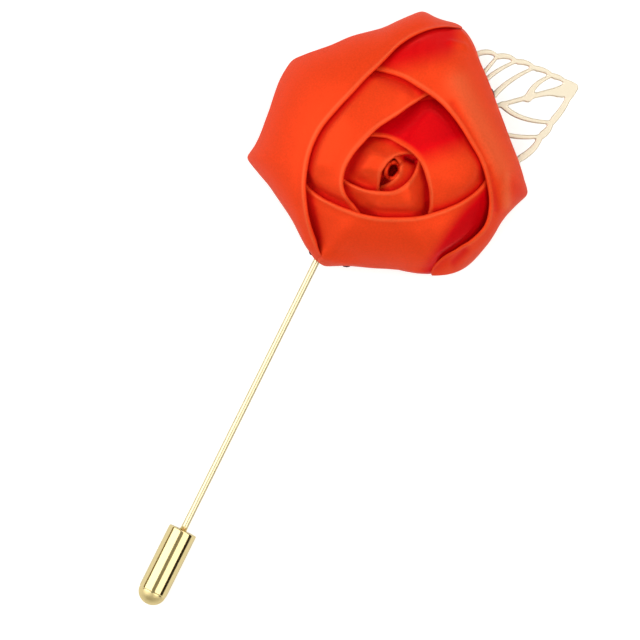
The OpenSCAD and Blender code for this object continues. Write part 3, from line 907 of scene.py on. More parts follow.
@dataclass
class RoseForm:
    """The nested faces of the rose, as distances from a point under the bud.

    That point is centre_share of the flower's height below the table. Lifts, drops, widths and blends are
    in millimetres, ramps and bulge_degrees in degrees, end_fall is a share, and far stands for no limit.
    """

    place: Place
    flower_w: float = 45.0
    flower_h: float = 17.0
    centre_share: float = 0.3
    rim_lift: float = 0.15
    rim_round: float = 0.8
    wall: float = 0.56
    gap: float = 0.06
    ease: float = 0.8
    edge: float = 0.25
    end_fall: float = 0.5
    end_bulge: float = 2.5
    bulge_degrees: float = 14.0
    free_drop: float = 6.0
    end_ramp: float = 7.0
    end_lift: float = 0.1
    end_release: float = 0.35
    hollow_ramp: float = 6.0
    hollow_width: float = 3.0
    reach_past_end: float = 25.0
    blend: float = 0.5
    least_blend: float = 0.001
    far: float = 99.0
    columns_a_degree: int = 3
    lowest_rise: float = -8.0
    rise_steps: int = 491
    grid: dict[int, tuple[Array, Array, Array]] = field(default_factory=dict)

    def __post_init__(self) -> None:
        """Works out the sizes that follow from the others and the faces, from the outermost petal in."""
        self.flower_r = self.flower_w / 2
        self.half = self.wall / 2
        self.layer = self.wall + self.gap
        self.depth = self.centre_share * self.flower_h
        self.rim_z = self.place.felt_high + self.rim_lift
        for k in range(len(FOLDS) - 1, -1, -1):
            self.map_face(k)

    def outline(self, angle: Array, column: int) -> Array:
        """A column of the outline's table at some angles."""
        return read_rows(OUTLINE_ROWS, counted_from(OUTLINE_ROWS[0, 0], angle), column)

    def rim_reach(self, angle: Array) -> Array:
        """Reach of the outline."""
        return self.flower_r * self.outline(angle, 1)

    def rim_height(self, angle: Array) -> Array:
        """Height of the outline's rim above the table."""
        return self.rim_z * (1 - np.clip(self.outline(angle, 2), 0, 1))

    def tip_side(self, k: int, angle: Array) -> Array:
        """Reach of a fold's innermost point."""
        return self.flower_r * read_rows(FOLDS[k].rows, angle, 1)

    def tip_up(self, k: int, angle: Array) -> Array:
        """Height of the middle of a fold's nose above the point under the bud."""
        return self.flower_h * read_rows(FOLDS[k].rows, angle, 2) - self.half + self.depth

    def fold_distance(self, k: int, angle: Array) -> Array:
        """Distance of the fold's crest."""
        return np.hypot(self.tip_side(k, angle), self.tip_up(k, angle)) + self.half

    def nose(self, distance: Array) -> Array:
        """Angle that half the wall spans at a distance, in degrees."""
        return np.degrees(self.half / distance)

    def fold_rise(self, k: int, angle: Array) -> Array:
        """Rise of the middle of the fold's nose."""
        tip = np.degrees(np.arctan2(self.tip_up(k, angle), self.tip_side(k, angle)))
        return tip - self.nose(self.fold_distance(k, angle))

    def squareness(self, k: int, angle: Array) -> Array:
        """How squarely a fold lies across the way out from the bud: less than 1 where it runs aslant."""
        run = self.tip_side(k, angle + 1) - self.tip_side(k, angle - 1)
        return 1 / np.hypot(1, run / np.radians(2 * self.tip_side(k, angle)))

    def past_fold(self, k: int, near: Array, rise: Array, distance: Array) -> Array:
        """Millimetres from a fold's nose to places beyond it, at a distance and the nearest angles."""
        return np.radians(rise - self.fold_rise(k, near)) * distance * self.squareness(k, near) - self.half

    def cover(self, k: int, angle: Array) -> Array:
        """How many petals lie over this one, each counted fully from a little inside its ends."""
        shares = [np.clip(o.inside(angle) / self.end_ramp, 0, 1) for o in FOLDS[k + 1:]]
        return np.sum(shares, axis=0) if shares else np.zeros_like(angle)

    def foot_height(self, k: int, angle: Array) -> Array:
        """Height of a petal's rim: drooping where it shows, level where it is hidden, lifted at its ends.

        Args:
            k: the petal's number.
            angle: angles within the petal's ends.

        Returns:
            The heights.
        """
        hidden = np.minimum(1, self.cover(k, angle))
        open_rim = self.rim_height(angle)
        lift = self.end_lift * (1 - np.clip(FOLDS[k].inside(angle) / self.end_ramp, 0, 1))
        return open_rim + hidden * (self.rim_z - open_rim) + lift

    def foot_distance(self, k: int, angle: Array) -> Array:
        """Distance of a petal's rim, one layer in for each petal over it."""
        reach = self.rim_reach(angle) - self.layer * self.cover(k, angle)
        return np.hypot(reach, self.foot_height(k, angle) + self.depth)

    def rise_at(self, height: Array, distance: Array) -> Array:
        """Rise at which the middle of the wall is at a height."""
        level = np.clip((height + self.depth) / (distance - self.half), -1, 1)
        return np.degrees(np.arcsin(level)) + self.rim_round * self.nose(distance)

    def foot_rise(self, k: int, angle: Array) -> Array:
        """Rise of a petal's rim, before the petals over it are looked at."""
        rise = self.rise_at(self.foot_height(k, angle), self.foot_distance(k, angle))
        return np.minimum(rise, self.fold_rise(k, angle) - 1)

    def own_distance(self, k: int, angle: Array, rise: Array) -> Array:
        """Distance of a petal's face by itself: straight from fold to rim, with a swell between them.

        Args:
            k: the petal's number.
            angle: angles within the petal's ends.
            rise: angles of rise.

        Returns:
            The distances.
        """
        top, foot = self.fold_rise(k, angle), self.foot_rise(k, angle)
        share = np.clip((top - rise) / (top - foot), 0, 1)
        a, b = self.fold_distance(k, angle), self.foot_distance(k, angle)
        swell = FOLDS[k].swell * FOLDS[k].fullness(angle)
        return a + (b - a) * share + 4 * swell * share * (1 - share)

    def overlap(self, o: int, angle: Array, rise: Array) -> Overlap:
        """How places lie against petal o over them.

        Args:
            o: the outer petal's number.
            angle: angles round the bud.
            rise: angles of rise.

        Returns:
            The petal's face and the step down from it, and the distances past its fold, foot and end.
        """
        fold = FOLDS[o]
        near = fold.nearest(angle)
        foot = self.foot_rise(o, near)
        face = self.face(o, near, np.clip(rise, foot, self.fold_rise(o, near)))
        release = self.end_release * (1 - fold.fullness(angle))
        return Overlap(
            face=face,
            step=self.gap + self.wall * fold.thickness(angle) - release,
            past_fold=self.past_fold(o, near, rise, face),
            past_foot=np.radians(foot - rise) * face - self.half,
            past_end=np.radians(fold.outside(angle)) * face * np.cos(np.radians(rise)),
        )

    def eased(self, past: Array) -> Array:
        """A distance past an edge that starts slowly: its square by itself and the ease together."""
        return past**2 / (past + self.ease)

    def room_below(self, o: int, angle: Array, over: Overlap) -> Array:
        """Greatest distance of a petal under petal o: a layer less, and more beyond o's edges.

        Args:
            o: the outer petal's number.
            angle: angles round the bud.
            over: how the places lie against petal o.

        Returns:
            The distances, without a limit far past the petal's ends.
        """
        fold = FOLDS[o]
        past = np.hypot(np.maximum(0, np.maximum(over.past_fold - self.edge, over.past_foot)), over.past_end)
        under = np.maximum(-over.past_fold - self.half, 0.0)
        dip = ramp(fold.inside(angle) / self.hollow_ramp - 0.5) * bell(under, self.hollow_width)
        room = over.face - over.step - fold.hollow * dip + self.eased(past)
        return np.where(fold.outside(angle) < self.reach_past_end, room, np.inf)

    def held_up(self, o: int, angle: Array, over: Overlap) -> Array:
        """Least distance of a petal under the end of petal o: level with it, and falling away from it.

        Args:
            o: the outer petal's number.
            angle: angles round the bud.
            over: how the places lie against petal o.

        Returns:
            The distances.
        """
        past = np.hypot(np.maximum(0, over.past_fold), over.past_end)
        drop = self.free_drop * FOLDS[o].fullness(angle)
        return over.face - over.step - self.end_fall * self.eased(past) - drop

    def closeness(self, k: int, angle: Array, rise: Array, width: float) -> Array:
        """How close places of a petal lie to a fold over it: a bell curve of the distance from the fold.

        Args:
            k: the petal's number.
            angle: angles round the bud.
            rise: angles of rise.
            width: the bell curve's width.

        Returns:
            The greatest closeness to any petal over it, from 0 to 1; 1 where it is covered.
        """
        close = np.zeros(np.broadcast(angle, rise).shape)
        for o in range(k + 1, len(FOLDS)):
            near = FOLDS[o].nearest(angle)
            past = np.maximum(self.past_fold(o, near, rise, self.fold_distance(o, near)), 0.0)
            close = np.maximum(close, FOLDS[o].fullness(angle) * bell(past, width))
        return close

    def map_face(self, k: int) -> None:
        """Works out the face of one petal on a fine grid of its angles and of rise.

        Args:
            k: the petal's number.
        """
        angles = FOLDS[k].stations(self.columns_a_degree)
        rises = np.linspace(self.lowest_rise, 90.0, self.rise_steps)
        angle, rise = angles[:, None], rises[None, :]
        distance = self.own_distance(k, angle, rise)
        for o in range(k + 1, len(FOLDS)):
            over = self.overlap(o, angle, rise)
            if FOLDS[o].soft_end:
                bulge = self.end_bulge * ramp((rise - self.foot_rise(k, angle)) / self.bulge_degrees)
                held = np.minimum(self.held_up(o, angle, over), distance + bulge)
                distance = -smooth_min(-distance, -held, np.minimum(bulge, self.blend) + self.least_blend)
            room = np.minimum(self.room_below(o, angle, over), self.far)
            distance = smooth_min(distance, room, self.blend)
        self.grid[k] = (angles, rises, distance)

    def face(self, k: int, angle: Array, rise: Array) -> Array:
        """Distance of a petal's outer face, read between the points of its grid.

        Args:
            k: the petal's number.
            angle: angles within the petal's ends.
            rise: angles of rise.

        Returns:
            The distances.
        """
        angles, rises, distance = self.grid[k]
        u = (angle - angles[0]) / (angles[1] - angles[0])
        v = (rise - rises[0]) / (rises[1] - rises[0])
        i = np.clip(u.astype(int), 0, len(angles) - 2)
        j = np.clip(v.astype(int), 0, len(rises) - 2)
        u, v = np.clip(u - i, 0, 1), np.clip(v - j, 0, 1)
        low = distance[i, j] * (1 - u) + distance[i + 1, j] * u
        high = distance[i, j + 1] * (1 - u) + distance[i + 1, j + 1] * u
        return low * (1 - v) + high * v

    def point(self, angle: Array, rise: Array, distance: Array) -> Array:
        """Points of the flower's frame from their distances along the directions of angle and rise.

        Args:
            angle: angles round the bud.
            rise: angles of rise.
            distance: distances from the point under the bud.

        Returns:
            The points.
        """
        a, r = np.radians(angle), np.radians(rise)
        out = distance * np.cos(r)
        return np.stack([out * np.cos(a), out * np.sin(a), distance * np.sin(r) - self.depth], axis=-1)


@dataclass
class Petal:
    """A folded petal: a band with a rounded fold inwards and a rounded rim at its foot.

    Its marks of painted shading are above 0 where shade is painted and below 0 where a highlight is painted
    on the crest and on pale ridges.
    """

    form: RoseForm
    number: int
    sections_a_degree: float = 1.0
    face_steps: int = 64
    inner_steps: int = 28
    round_steps: int = 8
    even_passes: int = 2
    bead_rise: float = 0.06
    bead_place: float = 0.2
    bead_width: float = 0.3
    valley_depth: float = 0.04
    valley_place: float = 1.3
    valley_width: float = 0.7
    # Painted shade beside the folds over the petal, its width and where it starts from the fold; inner_shade
    # is painted shade on the hidden rim and inner face
    shade: float = 0.8
    shade_width: float = 0.8
    shade_start: float = 0.9
    inner_shade: float = 0.7
    # Painted highlight along the fold's crest: its share, place and width, and its share round the nose
    crest_highlight_share: float = 0.7
    crest_highlight_place: float = 0.15
    crest_highlight_width: float = 0.22
    nose_highlight_share: float = 0.5

    @property
    def fold(self) -> Fold:
        """The petal's fold."""
        return FOLDS[self.number]

    def bare_face(self) -> tuple[Array, Array, Array]:
        """Works out the outer face: the mapped distance between the fold's crest and the rim, smoothed.

        Returns:
            The sections' angles as a column, and the rise and distance of each step down the face.
        """
        form, k, fold = self.form, self.number, self.fold
        angles = fold.stations(self.sections_a_degree)
        thinned = np.degrees(form.half * (1 - fold.thickness(angles)) / form.fold_distance(k, angles))
        top = form.fold_rise(k, angles) + thinned
        foot = form.foot_rise(k, angles)
        for _ in range(2):
            foot = form.rise_at(form.foot_height(k, angles), form.face(k, angles, foot))
        foot = np.minimum(foot - form.rim_round * thinned, top - 1)
        rise = top[:, None] + (foot - top)[:, None] * np.linspace(0.0, 1.0, self.face_steps)
        face = smoothed(form.face(k, angles[:, None], rise), self.even_passes)
        return angles[:, None], rise, smoothed(face, fold.smoothing, across=False)

    def creased(self, angle: Array, rise: Array, face: Array, from_fold: Array) -> tuple[Array, Array]:
        """Adds the bead along the fold, the valley beside it and the creases, and works out the marks of
        painted shade and highlight.

        Args:
            angle: the sections' angles, a column.
            rise: rise of each step down the face.
            face: distance of each step.
            from_fold: millimetres from the fold to each step.

        Returns:
            The new distances, and the marks of painted shade and highlight of all the points of each
            section.
        """
        face = face + self.bead_rise * bell(from_fold - self.bead_place, self.bead_width)
        face = face - self.valley_depth * bell(from_fold - self.valley_place, self.valley_width)
        flat = self.form.point(angle, rise, face)
        # Painted shade where a fold over the petal lies close, raised by the creases; pale gathers their
        # painted highlights
        painted_shade = self.shade * self.form.closeness(self.number, angle, rise, self.shade_width)
        pale = np.zeros_like(painted_shade)
        for crease in self.fold.creases:
            share = crease.share(flat[..., 0], flat[..., 1])
            face = face + crease.rise * share
            painted_shade = np.maximum(painted_shade, crease.shade * share)
            pale = np.maximum(pale, -crease.shade * share)
        # Painted highlight along the crest, fading at the petal's ends and where shade is painted
        painted_crest_highlight = self.crest_highlight_share * self.fold.fullness(angle)
        crest = painted_crest_highlight * bell(from_fold - self.crest_highlight_place, self.crest_highlight_width) * (1 - np.clip(painted_shade, 0, 1))
        # Painted shade on the hidden rim and inner face, turning round the nose to a painted highlight
        hidden = np.full((len(angle), self.round_steps + self.inner_steps), self.inner_shade)
        over = np.linspace(0.0, 1.0, self.round_steps)
        nose = self.inner_shade * (1 - over) - self.nose_highlight_share * painted_crest_highlight * over
        shown = (painted_shade - pale) * ramp(from_fold / self.shade_start) - crest
        return face, np.concatenate([shown, hidden, nose], axis=1)

    def rounded(self, angle: Array, rise: Array, face: Array, wall: Array, turn: Array, way: float) -> Array:
        """Half-round edge that joins the outer and the inner face.

        Args:
            angle: the sections' angles, a column.
            rise: rise of the edge's middle, a column.
            face: distance of the outer face there, a column.
            wall: the wall's thickness, a column.
            turn: angles of the half circle, 0 at the outer face.
            way: 1 towards the pole and -1 away from it, times the roundness.

        Returns:
            The points, a row for each section.
        """
        middle = face - wall / 2
        distance = middle + wall / 2 * np.cos(turn)
        return self.form.point(angle, rise + way * np.degrees(wall / 2 / middle) * np.sin(turn), distance)

    def build(self) -> bpy.types.Object:
        """Builds the petal.

        A section at each angle runs down the outer face, round the rim, up the inner face and round the
        fold. On the cloth a point's place is its distance along the fold and along its section.

        Returns:
            The petal's object.
        """
        form = self.form
        angle, rise, face = self.bare_face()
        from_fold = np.radians(rise[:, :1] - rise) * face
        # depth holds the marks of painted shade and highlight
        face, depth = self.creased(angle, rise, face, from_fold)
        wall = form.wall * self.fold.thickness(angle)
        picked = np.linspace(self.face_steps - 1, 0, self.inner_steps).round().astype(int)
        turn = np.linspace(0, np.pi, self.round_steps + 2)[1:-1]
        outer = form.point(angle, rise, face)
        section = np.concatenate([
            outer,
            self.rounded(angle, rise[:, -1:], face[:, -1:], wall, turn, -form.rim_round),
            form.point(angle, rise[:, picked], (face - wall)[:, picked]),
            self.rounded(angle, rise[:, :1], face[:, :1], wall, np.pi - turn, 1.0),
        ], axis=1)
        rows, columns = section.shape[:2]
        along = np.cumsum(np.r_[0, np.linalg.norm(np.diff(outer[:, 0], axis=0), axis=1)])
        steps = np.linalg.norm(np.diff(section, axis=1), axis=2)
        across = np.cumsum(np.concatenate([np.zeros((rows, 1)), steps], axis=1), axis=1)
        uv = np.stack(np.broadcast_arrays(along[:, None], across), axis=-1)
        first = np.arange(columns)[None, :]
        faces = flipped([grid_quads(rows, columns, close_columns=True), first])
        faces.append(first + (rows - 1) * columns)
        name = f"petal_{self.number}_cloth"
        obj = build_object(name, form.place.to_model(section), faces, uv, {"painted_shading": depth})
        obj["fold_length"] = float(along[-1])
        return obj


@dataclass
class Bud:
    """The rolled bud: a ring of cloth round an oval hole, widening under the petals.

    The hole's wall is rows of a share of the hole's radius and a share of its height.
    """

    form: RoseForm
    ring: float = 0.68
    ring_rise: float = 0.35
    ring_passes: int = 6
    side_passes: int = 12
    side_sink: float = 0.35
    side_ease: float = 0.35
    side_spread: float = 0.12
    hole_depth: float = 5.0
    hole_wall: tuple[Pair, ...] = ((0.5, 0.0), (0.8, 0.05), (0.9, 0.5), (0.95, 0.85))
    stations: int = 180
    round_steps: int = 14
    side_steps: int = 40
    foot_rise: float = 25.0
    cloth_r: float = 1.5
    # Painted shade over the bud's hole and its side under the petals
    shade: float = 0.75

    def section(self) -> tuple[Array, Array, Array]:
        """Works out the sections: hole floor, hole wall, rounded crest, and a side along the mapped face.

        Returns:
            The sections' angles in radians, and the radius and height of their points.
        """
        form = self.form
        angles = np.linspace(0, 360, self.stations, endpoint=False)[:, None]
        tip = smoothed(form.tip_side(0, angles), self.ring_passes, across=False, ring=True)
        top = form.fold_rise(0, angles)
        rise = top + (self.foot_rise - top) * np.linspace(0.0, 1.0, self.side_steps)
        face = smoothed(form.face(0, angles, rise), self.side_passes, ring=True)
        side = form.point(angles, rise, face)
        side_z = side[..., 2]
        radius = self.ring / 2
        crest_z = side_z[:, :1] + self.ring_rise - radius
        turn = np.linspace(0, np.pi, self.round_steps)
        outer_r = tip + self.ring
        side_r = np.maximum(np.hypot(side[..., 0], side[..., 1]),
                            outer_r + self.side_spread * np.arange(self.side_steps))
        drop = np.exp(-(side_r - outer_r) / self.side_ease) * (crest_z - self.side_sink - side_z)
        floor_z = crest_z.mean() - self.hole_depth
        inward, upward = np.array(self.hole_wall).T
        r = np.concatenate([tip * inward, tip + radius - radius * np.cos(turn), side_r[:, 1:]], axis=1)
        z = np.concatenate([
            floor_z + (crest_z - floor_z) * upward,
            crest_z + radius * np.sin(turn),
            (side_z + drop - self.side_sink)[:, 1:],
        ], axis=1)
        return np.radians(angles), r, z

    def build(self) -> bpy.types.Object:
        """Builds the bud from its sections with painted shade, and notes the length of its middle round.

        Returns:
            The bud's object.
        """
        a, r, z = self.section()
        section = np.stack([r * np.cos(a), r * np.sin(a), z], axis=-1)
        rows, columns = z.shape
        # Painted shade everywhere but on the ring's round, where it goes from full at its two sides to none
        # at its top
        depth = np.full((rows, columns), self.shade)
        start = len(self.hole_wall)
        depth[:, start:start + self.round_steps] = 1.0 - np.sin(np.linspace(0, np.pi, self.round_steps))
        uv = np.stack(np.broadcast_arrays(a * self.cloth_r, z), axis=-1)
        faces = flipped(round_faces(rows, columns))
        obj = build_object("bud_cloth", self.form.place.to_model(section), faces, uv, {"painted_shading": depth})
        middle = section[:, columns // 2]
        obj["fold_length"] = float(np.linalg.norm(np.roll(middle, 1, 0) - middle, axis=1).sum())
        return obj


@dataclass
class Rose:
    """The whole rose: the bud and the petals."""

    form: RoseForm

    def build(self) -> None:
        """Builds and dresses the bud and the petals, and puts them on the flower's body."""
        satin = SATIN.make()
        pieces = [Bud(self.form).build()] + [Petal(self.form, k).build() for k in range(1, len(FOLDS))]
        for piece in pieces:
            fit(piece, piece.name.removesuffix("_cloth"), "flower", satin)


# The felt


@dataclass
class FeltDisc:
    """The felt under the rose: it follows the outline, steps back under drooping petals and peeks out.

    Each peek has an angle, half its width in degrees and how far it stands proud of the outline.
    """

    form: RoseForm
    margin: float = 0.4
    droop_step: float = 2.5
    step_slope: float = 3.0
    droop_slope: float = 0.6
    edge: float = 0.25
    edge_steps: int = 7
    fuzz: float = 0.03
    seed: int = 7
    peeks: tuple[Triple, ...] = ((38.0, 4.5, 0.05), (225.0, 2.5, 0.04), (244.4, 3.0, 0.06))
    stations: int = 540
    rings: int = 40
    innermost: float = 0.02

    def reach(self, angle: Array) -> Array:
        """Reach of the felt's edge; each peek is a bump of (1 - d^2) over its half width.

        Args:
            angle: angles round the bud.

        Returns:
            The reaches.
        """
        drop = self.form.rim_z - self.form.rim_height(angle)
        peek = np.zeros_like(angle)
        for middle, half_width, proud in self.peeks:
            d = np.abs((angle - middle + 180) % 360 - 180) / half_width
            peek += np.where(d < 1, (self.margin + proud) * (1 - d**2), 0.0)
        back = np.minimum(self.droop_step, self.step_slope * drop) + self.droop_slope * drop
        return self.form.rim_reach(angle) - self.margin + peek - back

    def build(self) -> bpy.types.Object:
        """Builds the felt: rings out over the top, round the edge and back below, with a rough nap.

        Returns:
            The felt's object.
        """
        place = self.form.place
        low, high = place.felt_low, place.felt_high
        middle, half = (low + high) / 2, (high - low) / 2
        angles = np.linspace(0, 360, self.stations, endpoint=False)[:, None]
        reach = self.reach(angles)
        flat_r = (reach - self.edge) * np.linspace(self.innermost, 1.0, self.rings)
        turn = np.linspace(0, np.pi, self.edge_steps + 2)[1:-1]
        edge_r = reach - self.edge + self.edge * np.sin(turn)
        edge_z = np.broadcast_to(middle + half * np.cos(turn), edge_r.shape)
        r = np.concatenate([flat_r, edge_r, flat_r[:, ::-1]], axis=1)
        z = np.concatenate([np.full_like(flat_r, high), edge_z, np.full_like(flat_r, low)], axis=1)
        nap = self.fuzz * np.random.default_rng(self.seed).uniform(-1, 1, r.shape)
        r = r + nap
        z = z - np.where(z > middle, 1.0, -1.0) * np.abs(nap)
        a = np.radians(angles)
        section = np.stack([r * np.cos(a), r * np.sin(a), z], axis=-1)
        obj = build_object("felt_disc", place.to_model(section), flipped(round_faces(*z.shape)))
        fit(obj, "backing", "flower", FELT.make())
        return obj


# Metal parts


@dataclass(frozen=True)
class LeafSide:
    """One side of the leaf: which way it lies across, half its width, its border's width and its veins.

    A row of the veins holds where one leaves the midrib, where it bends and where it meets the border, as
    shares of the leaf's length, the height of its bend as a share of the border's, and its width.
    """

    way: float
    half_width: float
    border: float
    veins: Array


LEAF_SIDES = (
    LeafSide(1.0, 10.0, 0.85, np.array([
        [0.225, 0.190, 0.100, 1.05, 1.15], [0.420, 0.316, 0.165, 0.93, 1.15],
        [0.513, 0.403, 0.232, 0.95, 1.2], [0.605, 0.408, 0.305, 0.66, 1.2], [0.700, 0.513, 0.384, 0.70, 1.1],
        [0.790, 0.632, 0.487, 0.60, 1.0], [0.868, 0.750, 0.610, 0.60, 0.7],
    ])),
    LeafSide(-1.0, 11.3, 1.05, np.array([
        [0.335, 0.290, 0.150, 0.78, 0.95], [0.487, 0.395, 0.208, 0.93, 1.15],
        [0.592, 0.487, 0.320, 0.80, 0.9], [0.697, 0.605, 0.408, 0.70, 0.75],
        [0.790, 0.711, 0.540, 0.60, 0.7], [0.868, 0.816, 0.684, 0.60, 0.7],
    ])),
)
# Columns: place along the leaf from its tip, height across it, half the midrib's width, in millimetres
RIB_ROWS = np.array([
    [0.5, 0.0, 0.35], [1.4, 0.05, 0.8], [2.2, -0.1, 1.1], [3.3, -0.15, 0.95], [4.6, 0.1, 0.62],
    [6.2, 0.22, 0.46], [9.0, 0.2, 0.42], [13.0, 0.12, 0.36], [20.0, 0.0, 0.32], [30.0, 0.0, 0.42],
    [37.5, 0.0, 0.45],
])


@dataclass
class LeafSheet:
    """The pierced leaf: metal wherever a midrib, vein or border is near, with rounded edges.

    Its tip stands off the bud's axis by reach at angle, and it runs back from there at turn.
    """

    place: Place
    length: float = 38.0
    tip_share: float = 0.055
    lobe: float = 0.5
    lobe_lean: float = 0.7
    vein_end: float = 0.6
    vein_steps: int = 14
    rib_steps: int = 60
    reach: float = 33.0
    angle: float = 24.6
    turn: float = 194.0
    cell: float = 0.11
    fillet: float = 0.45
    edge: float = 0.16
    blunt: float = 0.3
    spare_along: float = 0.5
    spare_aside: float = 1.0
    least_slope: float = 0.5

    def outline(self, u: Array, side: LeafSide) -> Array:
        """Height of the outline: half a sine wave along the leaf, with a lobe between each two veins' ends.

        Args:
            u: places along the leaf.
            side: the side of the leaf.

        Returns:
            The heights.
        """
        share = np.clip(u / self.length, 0.0, 1.0)
        ends = np.r_[0.0, self.tip_share, side.veins[:, 2], 1.0]
        i = np.clip(np.searchsorted(ends, share, side="right") - 1, 0, len(ends) - 2)
        x = (share - ends[i]) / (ends[i + 1] - ends[i])
        bump = np.sin(np.pi * np.clip(x, 0, 1) ** self.lobe_lean) * np.sqrt(np.sin(np.pi * share))
        return side.half_width * np.sin(np.pi * share) + self.lobe * bump

    def bar(self, u: Array, v: Array, path: Array, half_widths: Array) -> Array:
        """Distance outside a bar that follows a path, negative inside it.

        Args:
            u: places along the leaf.
            v: places across it.
            path: the path's points, one a row.
            half_widths: half the bar's width at each of them.

        Returns:
            The least of the distances to its straight lengths, less the half width there.
        """
        best = np.full(u.shape, np.inf)
        for a, b, wide_a, wide_b in zip(path[:-1], path[1:], half_widths[:-1], half_widths[1:]):
            run = b - a
            t = np.clip(((u - a[0]) * run[0] + (v - a[1]) * run[1]) / (run @ run), 0.0, 1.0)
            away = np.hypot(u - a[0] - t * run[0], v - a[1] - t * run[1])
            best = np.minimum(best, away - wide_a - (wide_b - wide_a) * t)
        return best

    def vein_path(self, side: LeafSide, root: float, bend: float, end: float, rise: float) -> Array:
        """Path of a vein: a quadratic Bezier curve from the midrib by its bend to the border.

        Args:
            side: the side of the leaf.
            root: where it leaves the midrib, as a share of the leaf's length.
            bend: where it bends.
            end: where it meets the border.
            rise: height of its bend as a share of the border's.

        Returns:
            The path's points, one a row.
        """
        t = np.linspace(0, 1, self.vein_steps)[:, None]
        foot = np.array([root * self.length, 0.0])
        head_u = end * self.length
        head = np.array([head_u, self.outline(np.array(head_u), side) - side.border / 2])
        knee = np.array([bend * self.length, rise * (head[1] - side.border / 2)])
        return (1 - t) ** 2 * foot + 2 * t * (1 - t) * knee + t**2 * head

    def outside(self, u: Array, v: Array) -> Array:
        """Distance outside the metal at each place, negative in it, with filleted corners.

        Args:
            u: places along the leaf.
            v: places across it, the far side positive.

        Returns:
            The distances.
        """
        rib_u = np.linspace(RIB_ROWS[0, 0], RIB_ROWS[-1, 0], self.rib_steps)
        rib = np.stack([rib_u, read_rows(RIB_ROWS, rib_u, 1)], axis=-1)
        metal = self.bar(u, v, rib, read_rows(RIB_ROWS, rib_u, 2))
        rim = self.blunt - u
        turn = np.pi * np.clip(u / self.length, 0.0, 1.0)
        for side in LEAF_SIDES:
            half_border = side.border / 2
            slope = side.half_width * np.pi / self.length * np.cos(turn)
            from_edge = (side.way * v - self.outline(u, side)) / np.hypot(1, slope)
            metal = smooth_min(metal, np.abs(from_edge + half_border) - half_border, self.fillet)
            rim = np.maximum(rim, from_edge)
            for *path, width in side.veins:
                half_widths = np.linspace(width / 2, self.vein_end * half_border, self.vein_steps)
                vein = self.bar(u, side.way * v, self.vein_path(side, *path), half_widths)
                metal = smooth_min(metal, vein, self.fillet)
        return np.maximum(metal, rim)

    def cells(self, away: Array) -> tuple[Array, Array]:
        """Picks the cells whose middle is in the metal, and drops those with no corner among four cells.

        Args:
            away: distance outside the metal at each point of the grid.

        Returns:
            The cells' corners, and how many cells each point is in.
        """
        middle = (away[:-1, :-1] + away[1:, :-1] + away[:-1, 1:] + away[1:, 1:]) / 4
        corners = grid_quads(*away.shape)[middle.ravel() < 0]
        count = np.bincount(corners.ravel(), minlength=away.size)
        while (thin := (count[corners] < 4).all(axis=1)).any():
            corners = corners[~thin]
            count = np.bincount(corners.ravel(), minlength=away.size)
        return corners, count

    def build(self) -> bpy.types.Object:
        """Builds the leaf on a square grid: its rim is drawn to its line, and its two faces curve to it.

        Returns:
            The leaf's object.
        """
        far, near = LEAF_SIDES[0].half_width, LEAF_SIDES[1].half_width
        u, v = np.meshgrid(
            np.arange(-self.spare_along, self.length + self.spare_along, self.cell),
            np.arange(-near - self.spare_aside, far + self.spare_aside, self.cell),
            indexing="ij",
        )
        away = self.outside(u, v)
        corners, count = self.cells(away)
        used, rim = count > 0, (count > 0) & (count < 4)
        slope_u, slope_v = (slope.ravel() for slope in np.gradient(away, self.cell))
        away = away.ravel()
        steep = np.maximum(slope_u**2 + slope_v**2, self.least_slope**2)
        pull = np.where(rim, np.clip(away, -self.cell, self.cell) / steep, 0.0)
        inward = np.clip(-away / self.edge, 0.0, 1.0)
        low, high = self.place.leaf_low, self.place.leaf_high
        rise = (high - low) / 2 * np.where(rim, 0.0, np.sqrt(1 - (1 - inward) ** 2))
        x, y = turned(u.ravel() - pull * slope_u, pull * slope_v - v.ravel(), self.turn)
        a = math.radians(self.angle)
        flat = np.stack([self.reach * math.cos(a) + x, self.reach * math.sin(a) + y], axis=-1)
        inner = used & ~rim
        top = np.column_stack([flat, (low + high) / 2 + rise])[used]
        base = np.column_stack([flat, (low + high) / 2 - rise])[inner]
        top_id = np.cumsum(used) - 1
        base_id = np.where(rim, top_id, len(top) + np.cumsum(inner) - 1)
        placed = self.place.to_model(np.concatenate([top, base]))
        obj = build_object("leaf_sheet", placed, [top_id[corners][:, ::-1], base_id[corners]])
        fit(obj, "leaf", "flower", LEAF_METAL.make())
        return obj


